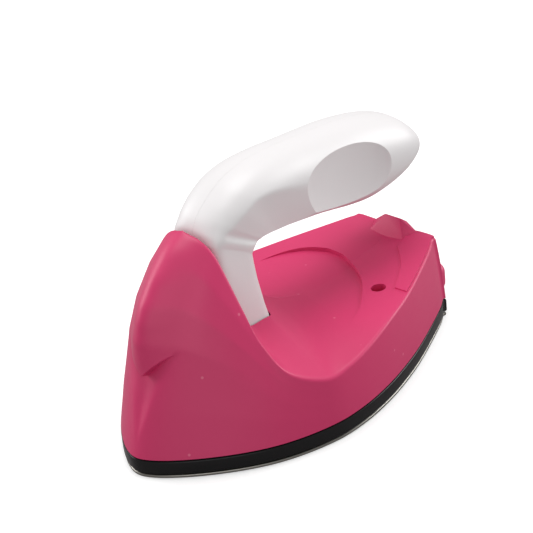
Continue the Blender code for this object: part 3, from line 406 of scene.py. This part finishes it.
def loftRoundOutline(name, half):
    # half the columns of a form, from nose to heel, are mirrored to the other side
    grid = gridOf(half)
    piece = addLoft(name, np.concatenate([grid[::-1] * (-1, 1, 1), grid[1:]]))
    tidyMesh(piece)
    return piece


def loftAlongRings(name, half):
    # half of each ring is mirrored, which closes it
    grid = gridOf(half)
    piece = addLoft(name, np.concatenate([grid, grid[:, ::-1] * (-1, 1, 1)], axis=1))
    tidyMesh(piece)
    return piece


def closeEnds(piece):
    # caps the two open ends of a loft of closed rings
    tidyMesh(piece)
    activate(piece)
    bpy.ops.object.mode_set(mode="EDIT")
    bpy.ops.mesh.select_all(action="DESELECT")
    bpy.ops.mesh.select_non_manifold()
    bpy.ops.mesh.edge_face_add()
    bpy.ops.mesh.select_all(action="SELECT")
    bpy.ops.mesh.normals_make_consistent(inside=False)
    bpy.ops.object.mode_set(mode="OBJECT")
    return piece


def finishPiece(piece, name, material, body, nodes, angle=30):
    piece.name = name
    activate(piece)
    bpy.ops.object.shade_smooth_by_angle(angle=math.radians(angle))
    piece.data.materials.clear()
    piece.data.materials.append(materials[material])
    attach(piece, body)
    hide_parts(*nodes)


def mix(a, b, share):
    return a + (b - a) * share


def smoothStep(share):
    share = min(max(share, 0.0), 1.0)
    return share * share * (3 - 2 * share)


def alongTable(table, place, even=False):
    # a row between a table's rows, on a smooth curve; even: mirrored at its start, as on the centre line
    last = len(table) - 1
    at = min(max(place, 0.0), 1.0) * last
    i = min(int(at), last - 1)
    t = at - i
    row = []
    for column in range(len(table[0])):
        p1, p2 = table[i][column], table[i + 1][column]
        start = (-p2 if column == 0 else p2) if even else p1 + (p1 - p2)
        p0 = table[i - 1][column] if i > 0 else start
        p3 = table[i + 2][column] if i + 2 <= last else p2 + (p2 - p1)
        rise1, rise2 = (p2 - p0) / 2, (p3 - p1) / 2
        row.append(p1 * (2 * t**3 - 3 * t**2 + 1) + rise1 * (t**3 - 2 * t**2 + t)
                   + p2 * (3 * t**2 - 2 * t**3) + rise2 * (t**3 - t**2))
    return row


def betweenRows(table, place):
    # a value between a table's rows, on straight lines
    for (a, valueA), (b, valueB) in zip(table, table[1:]):
        if place <= b:
            return mix(valueA, valueB, (place - a) / (b - a))
    return table[-1][1]


def smoothLess(a, b, blur):
    # the smaller of two values, with the bend between them rounded
    gap = max(blur - abs(a - b), 0.0) / blur
    return min(a, b) - gap * gap * blur / 4


fineness = 1.0     # coarser forms while trying things


def count(number):
    return int(number * fineness)


# Top shell: one fine loft from the bottom edge over the rim and the deck

shell = {
    "length": 84.6 * mm, "width": 52 * mm, "prowHeight": 46.7 * mm, "deckHeight": 18 * mm, "bottom": 4.3 * mm,
    "wall": 2 * mm, "columns": count(240), "lowRows": 20, "highRows": 26, "rimRows": 6, "deckRows": count(60),
    "rimRound": 0.8 * mm,
    "base": [(0.0, -1.016), (0.158, -0.983), (0.35, -0.896), (0.534, -0.785), (0.684, -0.674),
             (0.812, -0.551), (0.914, -0.404), (0.985, -0.236), (1.0, -0.095), (0.981, 0.066),
             (0.917, 0.272), (0.789, 0.532), (0.579, 0.846), (0.478, 0.965), (0.43, 1.0), (0.0, 1.0)],
    "rim": [(0.0, -0.54, 1.0), (0.15, -0.522, 0.965), (0.27, -0.505, 0.86), (0.375, -0.497, 0.68),
            (0.49, -0.492, 0.47), (0.62, -0.484, 0.248), (0.79, -0.424, 0.01), (0.94, -0.262, -0.115),
            (0.968, -0.105, -0.1), (0.948, 0.066, -0.062), (0.88, 0.275, -0.018), (0.75, 0.52, -0.002),
            (0.53, 0.832, 0.027), (0.43, 0.945, 0.044), (0.385, 0.985, 0.038), (0.0, 0.985, 0.027)],
    "spine": [(-0.539, 1.0, 1.0), (-0.515, 0.871, 1.0), (-0.492, 0.732, 1.0), (-0.463, 0.575, 1.0),
              (-0.4255, 0.418, 1.0), (-0.378, 0.32, 1.0), (-0.2955, 0.265, 1.0), (-0.165, 0.262, 1.0),
              (0.005, 0.09, 1.4), (0.154, -0.005, 1.4), (0.319, -0.049, 1.1), (0.544, -0.042, 1.0),
              (0.82, -0.01, 1.0), (0.931, 0.007, 1.0), (0.965, 0.017, 1.0), (0.985, 0.027, 1.0)],
    "noseLow": [(0.0, 0.0), (0.12, 0.065), (0.3, 0.175), (0.45, 0.3), (0.6, 0.4), (1.0, 1.0)],
    "noseHigh": [(0.0, 0.0), (0.396, 0.215), (0.48, 0.205), (0.57, 0.21), (0.67, 0.27), (0.735, 0.34),
                 (0.845, 0.53), (0.947, 0.78), (1.0, 1.0)],
    "corner": [(0.0, 0.0), (0.25, 0.13), (0.5, 0.28), (0.58, 0.325), (0.75, 0.49), (0.9, 0.74), (1.0, 1.0)],
    "flank": [(0.0, 0.0), (0.25, 0.16), (0.5, 0.38), (0.75, 0.66), (1.0, 1.0)],
    "beakEdge": [(0.0, 0.396), (0.12, 0.58), (0.3, 0.5), (1.0, 0.45)],
    "beakStep": 0.012, "beakCorner": 0.12, "leanEnd": 0.4,
    "facetDepth": 0.9 * mm, "facetStart": 0.06, "facetEnd": 0.58,
    # the edge's rounding takes at most these shares of the side and of the deck
    "roundOfSide": 0.1, "roundOfDeck": 0.3,
    "smoothAngle": 32,
}

crescent = {
    # how far back, then the two sides, in half lengths and half widths
    "outline": [(0.09, -0.66, 0.65), (0.19, -0.66, 0.6), (0.28, -0.655, 0.54), (0.37, -0.64, 0.44),
                (0.44, -0.61, 0.35), (0.51, -0.56, 0.24), (0.57, -0.49, 0.11), (0.61, -0.41, 0.0),
                (0.64, -0.31, -0.12), (0.645, -0.25, -0.19)],
    "depth": 1.0 * mm, "fade": 0.23, "slope": 0.3, "lift": 0.3, "rings": count(90), "steps": count(60),
}

tail = {
    "across": [(0.727, 0.2), (0.748, 0.245), (0.769, 0.33), (0.785, 0.46), (0.8, 0.6), (0.96, 0.62)],
    "edge": 0.03, "lift": 0.28 * mm, "sink": 1.2 * mm, "rings": 60, "points": 24,
    "hump": [(0.19, 0.89, 0.0), (0.08, 0.955, 0.135), (0.12, 0.983, 0.1), (0.25, 0.983, 0.02)],
    "humpRound": 0.25 * mm, "humpFlat": 0.01,
}

lampHole = {"spot": (0.48, 0.469), "radius": 1.65 * mm, "low": 12 * mm, "high": 26 * mm}
dock = {"halfWidth": 10.98 * mm, "top": 11.4 * mm, "rear": 45.3 * mm, "front": 38.9 * mm, "wall": 0.9 * mm,
        "lift": 0.3 * mm, "round": 2.2 * mm, "roundSteps": 6, "slotHalfWidth": 8.38 * mm, "overrun": 3 * mm}
rails = {"inner": 10.3 * mm, "outer": 11.7 * mm, "front": -20 * mm, "rear": -9 * mm, "bottom": 13.5 * mm,
         "top": 19 * mm}
rearScrews = {"spot": 8.28 * mm, "height": 13.6 * mm, "hole": 1.2 * mm}
core = {"columns": 30, "rows": 5, "ceiling": 34 * mm}


def outlinePlaces(number):
    # stations round the outline, with the straight heel taken in one step
    lastBend = 1 - 1 / (len(shell["base"]) - 1)
    return [lastBend * i / number for i in range(number + 1)] + [1.0]


def basePoint(place, inset=0.0):
    x, y = alongTable(shell["base"], place, even=True)
    return Vector((x * (shell["width"] / 2 - inset), min(y, 1.0) * (shell["length"] / 2 - inset)))


def risePoint(xShare, yShare, zShare):
    height = shell["deckHeight"] + zShare * (shell["prowHeight"] - shell["deckHeight"])
    return Vector((xShare * shell["width"] / 2, yShare * shell["length"] / 2, height))


def rimPoint(place):
    return risePoint(*alongTable(shell["rim"], place, even=True))


def ribLean(place, up, belowEdge):
    nose = betweenRows(shell["noseLow" if belowEdge else "noseHigh"], up)
    corner = betweenRows(shell["corner"], up)
    near = mix(nose, corner, smoothStep(place / shell["beakCorner"]))
    far = smoothStep((place - shell["beakCorner"]) / (shell["leanEnd"] - shell["beakCorner"]))
    return mix(near, betweenRows(shell["flank"], up), far)


def facetRecess(place, up):
    # the hollowed facet under the beak, bounded by a crease that climbs from the nose to the beak's corner
    climb = (up - shell["facetStart"]) / (shell["facetEnd"] - shell["facetStart"])
    crease = shell["beakCorner"] * climb
    if climb <= 0 or place >= crease:
        return 0.0
    return shell["facetDepth"] * smoothStep(climb * 2) * smoothStep(1 - place / crease)


def ribPoint(place, up, belowEdge):
    foot, rim = basePoint(place), rimPoint(place)
    lean = ribLean(place, up, belowEdge)
    point = Vector((mix(foot.x, rim.x, lean), mix(foot.y, rim.y, lean), mix(shell["bottom"], rim.z, up)))
    if belowEdge:
        point.y += facetRecess(place, up)
    return point


def deckPoint(place, across):
    spineY, spineZ, hollow = alongTable(shell["spine"], place)
    rim, spine = rimPoint(place), risePoint(0.0, spineY, spineZ)
    point = rim.lerp(spine, across)
    point.z = mix(rim.z, spine.z, across ** max(hollow, 1.0))
    return point


def rimArc(below, corner, beyond, rows):
    arc = []
    for i in range(1, rows):
        t = i / rows
        arc.append(below * (1 - t)**2 + corner * 2 * t * (1 - t) + beyond * t**2)
    return arc


def shellColumn(place):
    rim = rimPoint(place)
    edge = betweenRows(shell["beakEdge"], place)
    height = rim.z - shell["bottom"]
    deckWidth = max((deckPoint(place, 1.0) - rim).length, tiny)
    upEnd = 1 - min(shell["rimRound"] / height, shell["roundOfSide"])
    acrossStart = min(shell["rimRound"] / deckWidth, shell["roundOfDeck"])
    low = [(edge - shell["beakStep"]) * i / shell["lowRows"] for i in range(shell["lowRows"] + 1)]
    high = [mix(edge, upEnd, i / shell["highRows"]) for i in range(shell["highRows"] + 1)]
    side = [ribPoint(place, up, True) for up in low] + [ribPoint(place, up, False) for up in high]
    rows = shell["deckRows"]
    deck = [deckPoint(place, mix(acrossStart, 1.0, i / rows)) for i in range(rows + 1)]
    floor = Vector((0.0, basePoint(place).y, shell["bottom"]))
    return [floor] + side + rimArc(side[-1], rim, deck[0], shell["rimRows"]) + deck


def deckTree():
    # the deck as a surface that heights can be read from
    rows, columns = shell["deckRows"], shell["columns"]
    points = [deckPoint(i / columns, j / rows) for i in range(columns + 1) for j in range(rows + 1)]
    faces = []
    for i in range(columns):
        for j in range(rows):
            a = i * (rows + 1) + j
            faces.append((a, a + 1, a + rows + 2, a + rows + 1))
    return BVHTree.FromPolygons(points, faces)


def crescentForm():
    # what the step takes away: its floor sinks below the deck towards the apex
    tree = deckTree()
    apex = crescent["outline"][-1][0] * shell["length"] / 2
    grid = []
    for ring in range(crescent["rings"] + 1):
        y, left, right = alongTable(crescent["outline"], ring / crescent["rings"])
        y = y * shell["length"] / 2
        floor = []
        for step in range(crescent["steps"] + 1):
            x = mix(left, right, step / crescent["steps"]) * shell["width"] / 2
            fade = crescent["fade"] * shell["length"] / 2 - crescent["slope"] * x
            share = max((y - fade) / (apex - fade), -crescent["lift"])
            deck = tree.ray_cast(Vector((abs(x) + tiny, y, shell["prowHeight"])), Vector((0, 0, -1)))[0].z
            floor.append((x, y, deck - crescent["depth"] * share))
        top = shell["prowHeight"] / 2
        grid.append(floor + [(floor[-1][0], y, top), (floor[0][0], y, top), floor[0]])
    return closeEnds(addLoft("crescentCut", grid))


def panelForm():
    grid = []
    first, last = tail["across"][0][0], tail["across"][-1][0]
    for ring in range(tail["rings"] + 1):
        place = mix(first, last, ring / tail["rings"])
        inner = betweenRows(tail["across"], place)
        shares = [mix(tail["edge"], inner, i / tail["points"]) for i in range(tail["points"] + 1)]
        top = [deckPoint(place, share) + Vector((0, 0, tail["lift"])) for share in shares]
        low = [deckPoint(place, share) - Vector((0, 0, tail["sink"])) for share in reversed(shares)]
        grid.append(top + low + top[:1])
    return closeEnds(addLoft("tailPanel", grid))


def humpForm():
    points = [risePoint(side * x, y, z) for x, y, z in tail["hump"] for side in (-1, 1)]
    low = [(point.x, point.y, shell["deckHeight"] - tail["sink"]) for point in points]
    piece = addLoft("tailHump", [points, low])
    activate(piece)
    bpy.ops.object.mode_set(mode="EDIT")
    bpy.ops.mesh.select_all(action="SELECT")
    bpy.ops.mesh.delete(type="EDGE_FACE")
    bpy.ops.mesh.select_all(action="SELECT")
    bpy.ops.mesh.convex_hull()
    bpy.ops.mesh.select_all(action="SELECT")
    bpy.ops.mesh.dissolve_limited(angle_limit=tail["humpFlat"])
    bpy.ops.mesh.bevel(offset=tail["humpRound"], segments=3, affect="EDGES")
    bpy.ops.object.mode_set(mode="OBJECT")
    return piece


def innerPoint(point):
    narrow = 1 - shell["wall"] / (shell["width"] / 2)
    return Vector((point.x * narrow, point.y - shell["wall"], min(point.z - shell["wall"], core["ceiling"])))


def coreColumn(place):
    foot, rim = basePoint(place, shell["wall"]), rimPoint(place)
    innerRim = innerPoint(rim)
    low = shell["bottom"] - dock["overrun"]
    points = [Vector((0.0, foot.y, low)), Vector((*foot, low))]
    for row in range(core["rows"] + 1):
        z = mix(shell["bottom"], innerRim.z, row / core["rows"])
        lean = ribLean(place, (z - shell["bottom"]) / (rim.z - shell["wall"] - shell["bottom"]), True)
        points.append(Vector((mix(foot.x, innerRim.x, lean), mix(foot.y, innerRim.y, lean), z)))
    for row in range(1, core["rows"] + 1):
        points.append(innerPoint(deckPoint(place, row / core["rows"])))
    return points


def coreForm():
    # the hollow of the shell, less the two rails that stay in it
    columns = core["columns"]
    piece = loftRoundOutline("coreForm", [coreColumn(i / columns) for i in range(columns + 1)])
    ribs = []
    for side in (-1, 1):
        xs = sorted((side * rails["inner"], side * rails["outer"]))
        ribs.append(addBlock("rail", (xs[0], rails["front"], rails["bottom"]),
                             (xs[1], rails["rear"], rails["top"])))
    return carve(piece, ribs)


def makeTopShell():
    piece = loftRoundOutline("shellForm", [shellColumn(place) for place in outlinePlaces(shell["columns"])])
    boss = addBlock("dockBoss", (-dock["halfWidth"], dock["front"], shell["bottom"] + dock["lift"]),
                    (dock["halfWidth"], dock["rear"], dock["top"]), dock["round"], dock["roundSteps"])
    carve(piece, [boss, humpForm(), panelForm()], "UNION")
    x, y = lampHole["spot"][0] * shell["width"] / 2, lampHole["spot"][1] * shell["length"] / 2
    over, half = dock["overrun"], dock["slotHalfWidth"]
    cutters = [
        coreForm(), crescentForm(), handleForm("handleSlot", handle["gap"]),
        addBlock("dockSlot", (-half, dock["front"] - over, shell["bottom"] - over),
                 (half, dock["rear"] + over, dock["top"] - dock["wall"])),
        addRound("lampHole", (x, y, lampHole["low"]), (x, y, lampHole["high"]), lampHole["radius"]),
    ]
    for x in (-rearScrews["spot"], rearScrews["spot"]):
        cutters.append(addRound("rearHole", (x, dock["front"], rearScrews["height"]),
                                (x, dock["rear"], rearScrews["height"]), rearScrews["hole"]))
    carve(piece, cutters)
    finishPiece(piece, "topShell", "pinkPlastic", "iron", ["top_shell"], shell["smoothAngle"])


# Handle: two halves lofted along the grip, with thumb scoops and a flat facet under the shoulder

handle = {
    "length": 67.6 * mm, "height": 54.4 * mm, "gripHalfWidth": 9.3 * mm,
    "neckHalfWidths": (7.2 * mm, 6.4 * mm),     # at the foot and at the top
    "neckLength": 14.6 * mm, "neckTop": 36.9 * mm, "neckFront": 20.6 * mm, "footHeight": 13.6 * mm,
    "gap": 0.3 * mm, "seam": 0.03 * mm, "wall": 1.8 * mm, "sideWall": 2.4 * mm,
    "rings": count(130), "sidePoints": count(60), "slotRings": 44, "slotPoints": 26,
    "stations": [
        # outer and inner point of the side view, half width, roundness of the upper and lower half, then the
        # flat under-facet: how far it draws the lower side in, and the height of its upper edge
        (0.001, 0.371, 0.168, 0.000, 0.69, 6.0, 6.0, 0.0, 0.0),
        (0.009, 0.509, 0.183, 0.114, 0.75, 3.4, 6.0, 0.04, 0.6),
        (0.034, 0.651, 0.204, 0.149, 0.80, 2.8, 6.0, 0.10, 0.5),
        (0.081, 0.789, 0.232, 0.154, 0.86, 2.6, 6.0, 0.15, 0.48),
        (0.145, 0.914, 0.275, 0.137, 0.90, 2.5, 6.0, 0.17, 0.5),
        (0.228, 0.983, 0.327, 0.109, 0.91, 2.4, 5.4, 0.20, 0.36),
        (0.334, 0.983, 0.393, 0.051, 0.91, 2.3, 4.4, 0.19, 0.15),
        (0.445, 0.943, 0.467, -0.034, 0.92, 2.2, 3.2, 0.10, 0.0),
        (0.549, 0.897, 0.546, -0.131, 0.96, 2.2, 2.5, 0.02, 0.0),
        (0.645, 0.851, 0.623, -0.217, 0.99, 2.2, 2.2, 0.0, 0.0),
        (0.734, 0.783, 0.704, -0.263, 1.00, 2.2, 2.2, 0.0, 0.0),
        (0.822, 0.691, 0.793, -0.246, 0.97, 2.2, 2.2, 0.0, 0.0),
        (0.896, 0.566, 0.874, -0.189, 0.88, 2.2, 2.2, 0.0, 0.0),
        (0.956, 0.377, 0.941, -0.086, 0.69, 2.1, 2.1, 0.0, 0.0),
        (0.988, 0.234, 0.979, 0.017, 0.41, 2.0, 2.0, 0.0, 0.0),
    ],
    "tip": (1.000, 0.131),
    "neckSweep": [(0.0, 0.04), (0.25, 0.03), (0.5, -0.01), (0.75, -0.02), (0.9, -0.01), (0.985, 0.0)],
    "neckPowers": (10.0, 6.0),
    "facetSoft": 0.25 * mm, "smoothAngle": 18,
}
scoop = {"centre": (0.558, 0.34), "offset": 10.4 * mm, "reach": (4 * mm, 14.3 * mm, 14 * mm),
         "tilt": math.radians(-7), "segments": count(160), "rings": count(100)}


def handlePoint(yShare, zShare):
    return Vector((0.0, -handle["neckFront"] + yShare * handle["length"],
                   handle["neckTop"] + zShare * (handle["height"] - handle["neckTop"])))


def scoopForm(side):
    deselectAll()
    centre = handlePoint(*scoop["centre"])
    centre.x = side * scoop["offset"]
    bpy.ops.mesh.primitive_uv_sphere_add(segments=scoop["segments"], ring_count=scoop["rings"], radius=1,
                                         location=centre, rotation=(scoop["tilt"], 0, 0))
    piece = bpy.context.object
    piece.scale = scoop["reach"]
    bakePlace(piece)
    return piece


def handleSection(outer, inner, halfWidth, powers, points, grow=0.0, facet=0.0, edge=0.0):
    # half a rounded section from its inner point round the side to its outer point
    centre, reach = (outer + inner) / 2, (outer - inner) / 2
    reach = reach * (1 + grow / reach.length) if reach.length > 0 else reach
    section = []
    for i in range(points):
        turn = mix(-math.pi / 2, math.pi / 2, i / (points - 1))
        power = powers[0] if turn > 0 else powers[1]
        out = (halfWidth + grow) * max(math.cos(turn), 0.0)**(2 / power)
        up = (1 if turn > 0 else -1) * abs(math.sin(turn))**(2 / power)
        place = Vector((0.0, centre.y + reach.y * up, centre.z + reach.z * up))
        if facet > 0:
            limit = (1 - edge**powers[0])**(1 / powers[0]) - facet * (edge - up) / (1 + edge)
            out = smoothLess(out, (halfWidth + grow) * limit, handle["facetSoft"])
        place.x = max(out, 0.0)
        section.append(place)
    section[0].x = section[-1].x = 0.0
    return section


def handleStation(place):
    # a station's outer and inner point, half width, roundness, and its facet with the facet's edge
    row = alongTable(handle["stations"], place)
    return (handlePoint(*row[:2]), handlePoint(*row[2:4]), handle["gripHalfWidth"] * row[4], row[5:7],
            max(row[7], 0.0), max(row[8], 0.0))


def neckSections(points, grow):
    topOuter, topInner = handleStation(0.0)[:2]
    footOuter = Vector((0.0, -handle["neckFront"], handle["footHeight"] - grow))
    footInner = footOuter + Vector((0.0, handle["neckLength"], 0.0))
    sections = []
    for share, sweep in handle["neckSweep"]:
        outer, inner = footOuter.lerp(topOuter, share), footInner.lerp(topInner, share)
        inner.y += sweep * handle["neckLength"]
        halfWidth = mix(*handle["neckHalfWidths"], share)
        power = mix(*handle["neckPowers"], smoothStep(share))
        sections.append(handleSection(outer, inner, halfWidth, (power, power), points, grow))
    return sections


def handleSections(rings, points, grow=0.0):
    sections = neckSections(points, grow)
    for ring in range(rings + 1):
        outer, inner, halfWidth, powers, facet, edge = handleStation(ring / rings)
        sections.append(handleSection(outer, inner, halfWidth, powers, points, grow, facet, edge))
    tip = handlePoint(*handle["tip"])
    tip.y += grow
    return sections + [[tip.copy() for _ in range(points)]]


def handleForm(name, grow=0.0, rings=handle["slotRings"], points=handle["slotPoints"]):
    columns = handleSections(rings, points, grow)
    foot = [Vector((0.0, point.y, point.z)) for point in columns[0]]
    return loftAlongRings(name, [foot] + columns)


handleScrews = {
    "spots": [(0.16, 0.62), (0.83, 0.16)], "boss": 3.2 * mm, "bossSides": 32, "reach": 5.6 * mm,
    "overrun": 3 * mm, "hole": 1.2 * mm, "holeSides": 24, "headFloor": 4.4 * mm, "counterbore": 2.2 * mm,
    "boreSides": 40, "footX": 3.6 * mm, "footY": -13.3 * mm, "footTop": 20 * mm,
}
cavity = {"first": 0.07, "last": 0.93, "narrow": 0.72, "rings": 14, "points": 9}


def handleCavity():
    # the hollow of the grip, less the two screw bosses that stay in it
    columns = []
    for ring in range(cavity["rings"] + 1):
        place = mix(cavity["first"], cavity["last"], ring / cavity["rings"])
        outer, inner, halfWidth, (power, _) = handleStation(place)[:4]
        halfWidth = (halfWidth - handle["sideWall"]) * cavity["narrow"]
        columns.append(handleSection(outer, inner, halfWidth, (power, power), cavity["points"],
                                     -handle["wall"]))
    ends = []
    for column in (columns[0], columns[-1]):
        centre = (column[0] + column[-1]) / 2
        ends.append([centre.copy() for _ in column])
    piece = loftAlongRings("handleCavity", [ends[0]] + columns + [ends[1]])
    reach = Vector((handleScrews["reach"] + handleScrews["overrun"], 0, 0))
    bosses = []
    for spot in handleScrews["spots"]:
        point = handlePoint(*spot)
        bosses.append(addRound("boss", point - reach, point + reach, handleScrews["boss"],
                               handleScrews["bossSides"]))
    return carve(piece, bosses)


def makeHandleHalf(name, side, node):
    piece = handleForm(name, 0.0, handle["rings"], handle["sidePoints"])
    far = handle["length"]
    xs = sorted((side * handle["seam"] / 2, -side * far))
    cutters = [handleCavity(), scoopForm(side), addBlock("otherHalf", (xs[0], -far, 0), (xs[1], far, far))]
    hole, holeSides = handleScrews["hole"], handleScrews["holeSides"]
    for spot in handleScrews["spots"]:
        point = handlePoint(*spot)
        depth = handleScrews["reach"] - handle["wall"] if side > 0 else handleScrews["reach"] * 2
        start, end = point - Vector((side * mm, 0, 0)), point + Vector((side * depth, 0, 0))
        cutters.append(addRound("screwHole", start, end, hole, holeSides))
        if side < 0:
            floor = point - Vector((handleScrews["headFloor"], 0, 0))
            cutters.append(addRound("counterbore", floor, floor - Vector((handleScrews["reach"], 0, 0)),
                                    handleScrews["counterbore"], handleScrews["boreSides"]))
    x, y = side * handleScrews["footX"], handleScrews["footY"]
    cutters.append(addRound("footHole", (x, y, handle["footHeight"] - mm), (x, y, handleScrews["footTop"]),
                            hole, holeSides))
    carve(piece, cutters)
    finishPiece(piece, name, "whitePlastic", "iron", [node], handle["smoothAngle"])


makeTopShell()
print("top shell done")
makeHandleHalf("handleLeft", 1, "handle_left")
makeHandleHalf("handleRight", -1, "handle_right")
print("handle done")


# Black band and soleplate: the solid's inner part with a finely rounded edge round it

edging = {"joint": 2.2 * mm, "overlap": 0.3 * mm, "columns": count(150), "roundSteps": 4,
          "spill": 0.001 * mm}
# inset from the shell's outline, height, and the rounding of the outer corners
bandEdge = {"outer": -0.1 * mm, "low": 1.0 * mm, "high": 4 * mm, "round": 0.35 * mm}
soleEdge = {"outer": 0.1 * mm, "low": 0.0, "high": 0.7 * mm, "round": 0.25 * mm}


def edgeSection(values, inset):
    low, high, outer, radius = (values[key] for key in ("low", "high", "outer", "round"))
    turns = [math.pi / 2 * i / edging["roundSteps"] for i in range(edging["roundSteps"] + 1)]
    under = [(outer + radius * (1 - math.sin(turn)), low + radius * (1 - math.cos(turn))) for turn in turns]
    over = [(outer + radius * (1 - math.cos(turn)), high - radius * (1 - math.sin(turn))) for turn in turns]
    return [(inset, low)] + under + over + [(inset, high), (inset, low)]


def edgeRing(name, section):
    half = [[(*basePoint(place, inset), z) for inset, z in section]
            for place in outlinePlaces(edging["columns"])]
    return loftRoundOutline(name, half)


def copyNode(node, name):
    piece = bpy.data.objects.new(name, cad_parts[node].data.copy())
    bpy.context.scene.collection.objects.link(piece)
    piece.matrix_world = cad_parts[node].matrix_world
    bakePlace(piece)
    tidyMesh(piece, merging["copies"])
    return piece


def makeEdged(name, node, values, material):
    piece = copyNode(node, name)
    low, high, margin = values["low"] - mm, values["high"] + edging["spill"], edging["joint"]
    trim = [(margin, low), (-mm, low), (-mm, high), (margin, high), (margin, low)]
    carve(piece, [edgeRing("trim", trim)])
    carve(piece, [edgeRing("ring", edgeSection(values, margin + edging["overlap"]))], "UNION")
    finishPiece(piece, name, material, "iron", [node])


makeEdged("insulatorBand", "insulator_tray", bandEdge, "blackPlastic")
makeEdged("solePlate", "soleplate", soleEdge, "soleMetal")
print("band and soleplate done")


# Screws: a domed head with a cross recess on a threaded shank, in the place of each solid's screw

screws = {
    # axis of each kind of screw, and whether it is driven towards the axis' plus side
    "ways": {"handle": (0, 1), "foot": (2, 1), "tray": (2, -1), "clamp": (2, -1), "strap": (2, -1),
             "rear": (1, -1)},
    "headHeight": 1.2 * mm, "headRows": 8, "headTop": 0.55, "shank": 0.9 * mm, "thread": 0.14 * mm,
    "pitch": 0.7 * mm, "point": 1.1 * mm, "pointTip": 0.25, "sides": 40, "turnRows": 10, "ringPhase": 0.37,
    "recessReach": 0.62, "recessWidth": 0.36 * mm, "recessDepth": 0.71 * mm, "recessStep": 0.03,
    "neckBelowHead": 1.001, "smoothAngle": 40,
}


def pieceName(node):
    words = node.split("_")
    return words[0] + "".join(word.capitalize() for word in words[1:]) + "Detail"


def boundsOf(node):
    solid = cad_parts[node]
    points = gridOf([[solid.matrix_world @ vertex.co for vertex in solid.data.vertices]])[0]
    return points.min(0), points.max(0)


def screwRadius(depth, turn, headRadius, length):
    # the screw's radius at a depth below the top of its head
    head, shank = screws["headHeight"], screws["shank"]
    if depth <= head:
        return headRadius * mix(screws["headTop"], 1, math.sqrt(max(1 - (1 - depth / head)**2, 0)))
    wave = abs((depth / screws["pitch"] - turn / (2 * math.pi)) % 1 - 0.5) * 2
    taper = min((length - depth) / screws["point"], 1.0)
    return (shank - screws["thread"] * (1 - wave)) * mix(screws["pointTip"], 1, taper)


def screwForm(name, headRadius, length):
    head, rows = screws["headHeight"], screws["headRows"]
    steps = int((length - head) / screws["pitch"] * screws["turnRows"])
    depths = [head * i / rows for i in range(rows + 1)]
    depths += [mix(head * screws["neckBelowHead"], length, i / steps) for i in range(steps + 1)]
    grid = [[(0, 0, 0)] * (screws["sides"] + 1)]
    for depth in depths:
        ring = []
        for i in range(screws["sides"] + 1):
            turn = 2 * math.pi * (i + screws["ringPhase"]) / screws["sides"]
            out = screwRadius(depth, turn, headRadius, length)
            ring.append((out * math.cos(turn), out * math.sin(turn), -depth))
        grid.append(ring)
    grid.append([(0, 0, -length)] * (screws["sides"] + 1))
    piece = addLoft(name, grid)
    tidyMesh(piece)
    reach, width, depth = headRadius * screws["recessReach"], screws["recessWidth"] / 2, screws["recessDepth"]
    # the second slot is a little shallower, since floors in one plane would leave open edges
    floor, top = depth * (1 - screws["recessStep"]), depth * (1 + screws["recessStep"])
    return carve(piece, [
        addBlock("recess", (-reach, -width, -depth), (reach, width, depth)),
        addBlock("recess", (-width, -reach, -floor), (width, reach, top))])


def makeScrew(node):
    low, high = boundsOf(node)
    axis, way = screws["ways"][node.split("_")[0]]
    length = high[axis] - low[axis]
    others = [i for i in range(3) if i != axis]
    piece = screwForm(node, (high[others[0]] - low[others[0]]) / 2, length)
    top = (low + high) / 2
    top[axis] = low[axis] if way > 0 else high[axis]
    out = Vector([-way if i == axis else 0 for i in range(3)])
    piece.rotation_euler = out.to_track_quat("Z", "Y").to_euler()
    piece.location = top
    bakePlace(piece)
    finishPiece(piece, pieceName(node), "screwSteel", "iron", [node], screws["smoothAngle"])


# The other nodes: the same solids with softened edges

soft = {"width": 0.12 * mm, "segments": 3, "angle": 35, "wireLevels": 2}
slotMaterials = {
    "black_plastic": "blackPlastic", "sole_metal": "soleMetal", "screw_steel": "screwSteel",
    "brass_metal": "brassMetal", "mica_sheet": "micaSheet", "ceramic_white": "ceramicWhite",
    "red_lens": "redLens", "seal_resin": "sealResin", "red_sleeve": "redSleeve", "blue_sleeve": "blueSleeve",
}


def softenNode(node):
    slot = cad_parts[node].material_slots[0].material.name.split(".")[0]
    piece = copyNode(node, pieceName(node))
    bevel = piece.modifiers.new("soften", "BEVEL")
    bevel.width = soft["width"]
    bevel.segments = soft["segments"]
    bevel.limit_method = "ANGLE"
    bevel.angle_limit = math.radians(soft["angle"])
    if node.startswith("wire"):
        smooth = piece.modifiers.new("smooth", "SUBSURF")
        smooth.levels = smooth.render_levels = soft["wireLevels"]
    applyModifiers(piece)
    body = "thermostat_arm" if node == "thermostat_arm" else "iron"
    finishPiece(piece, pieceName(node), slotMaterials[slot], body, [node])


def dressNodes():
    done = {"top_shell", "handle_left", "handle_right", "insulator_tray", "soleplate"}
    for node in sorted(set(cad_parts) - done):
        if "screw" in node:
            makeScrew(node)
        else:
            softenNode(node)


dressNodes()
print("inner pieces done")
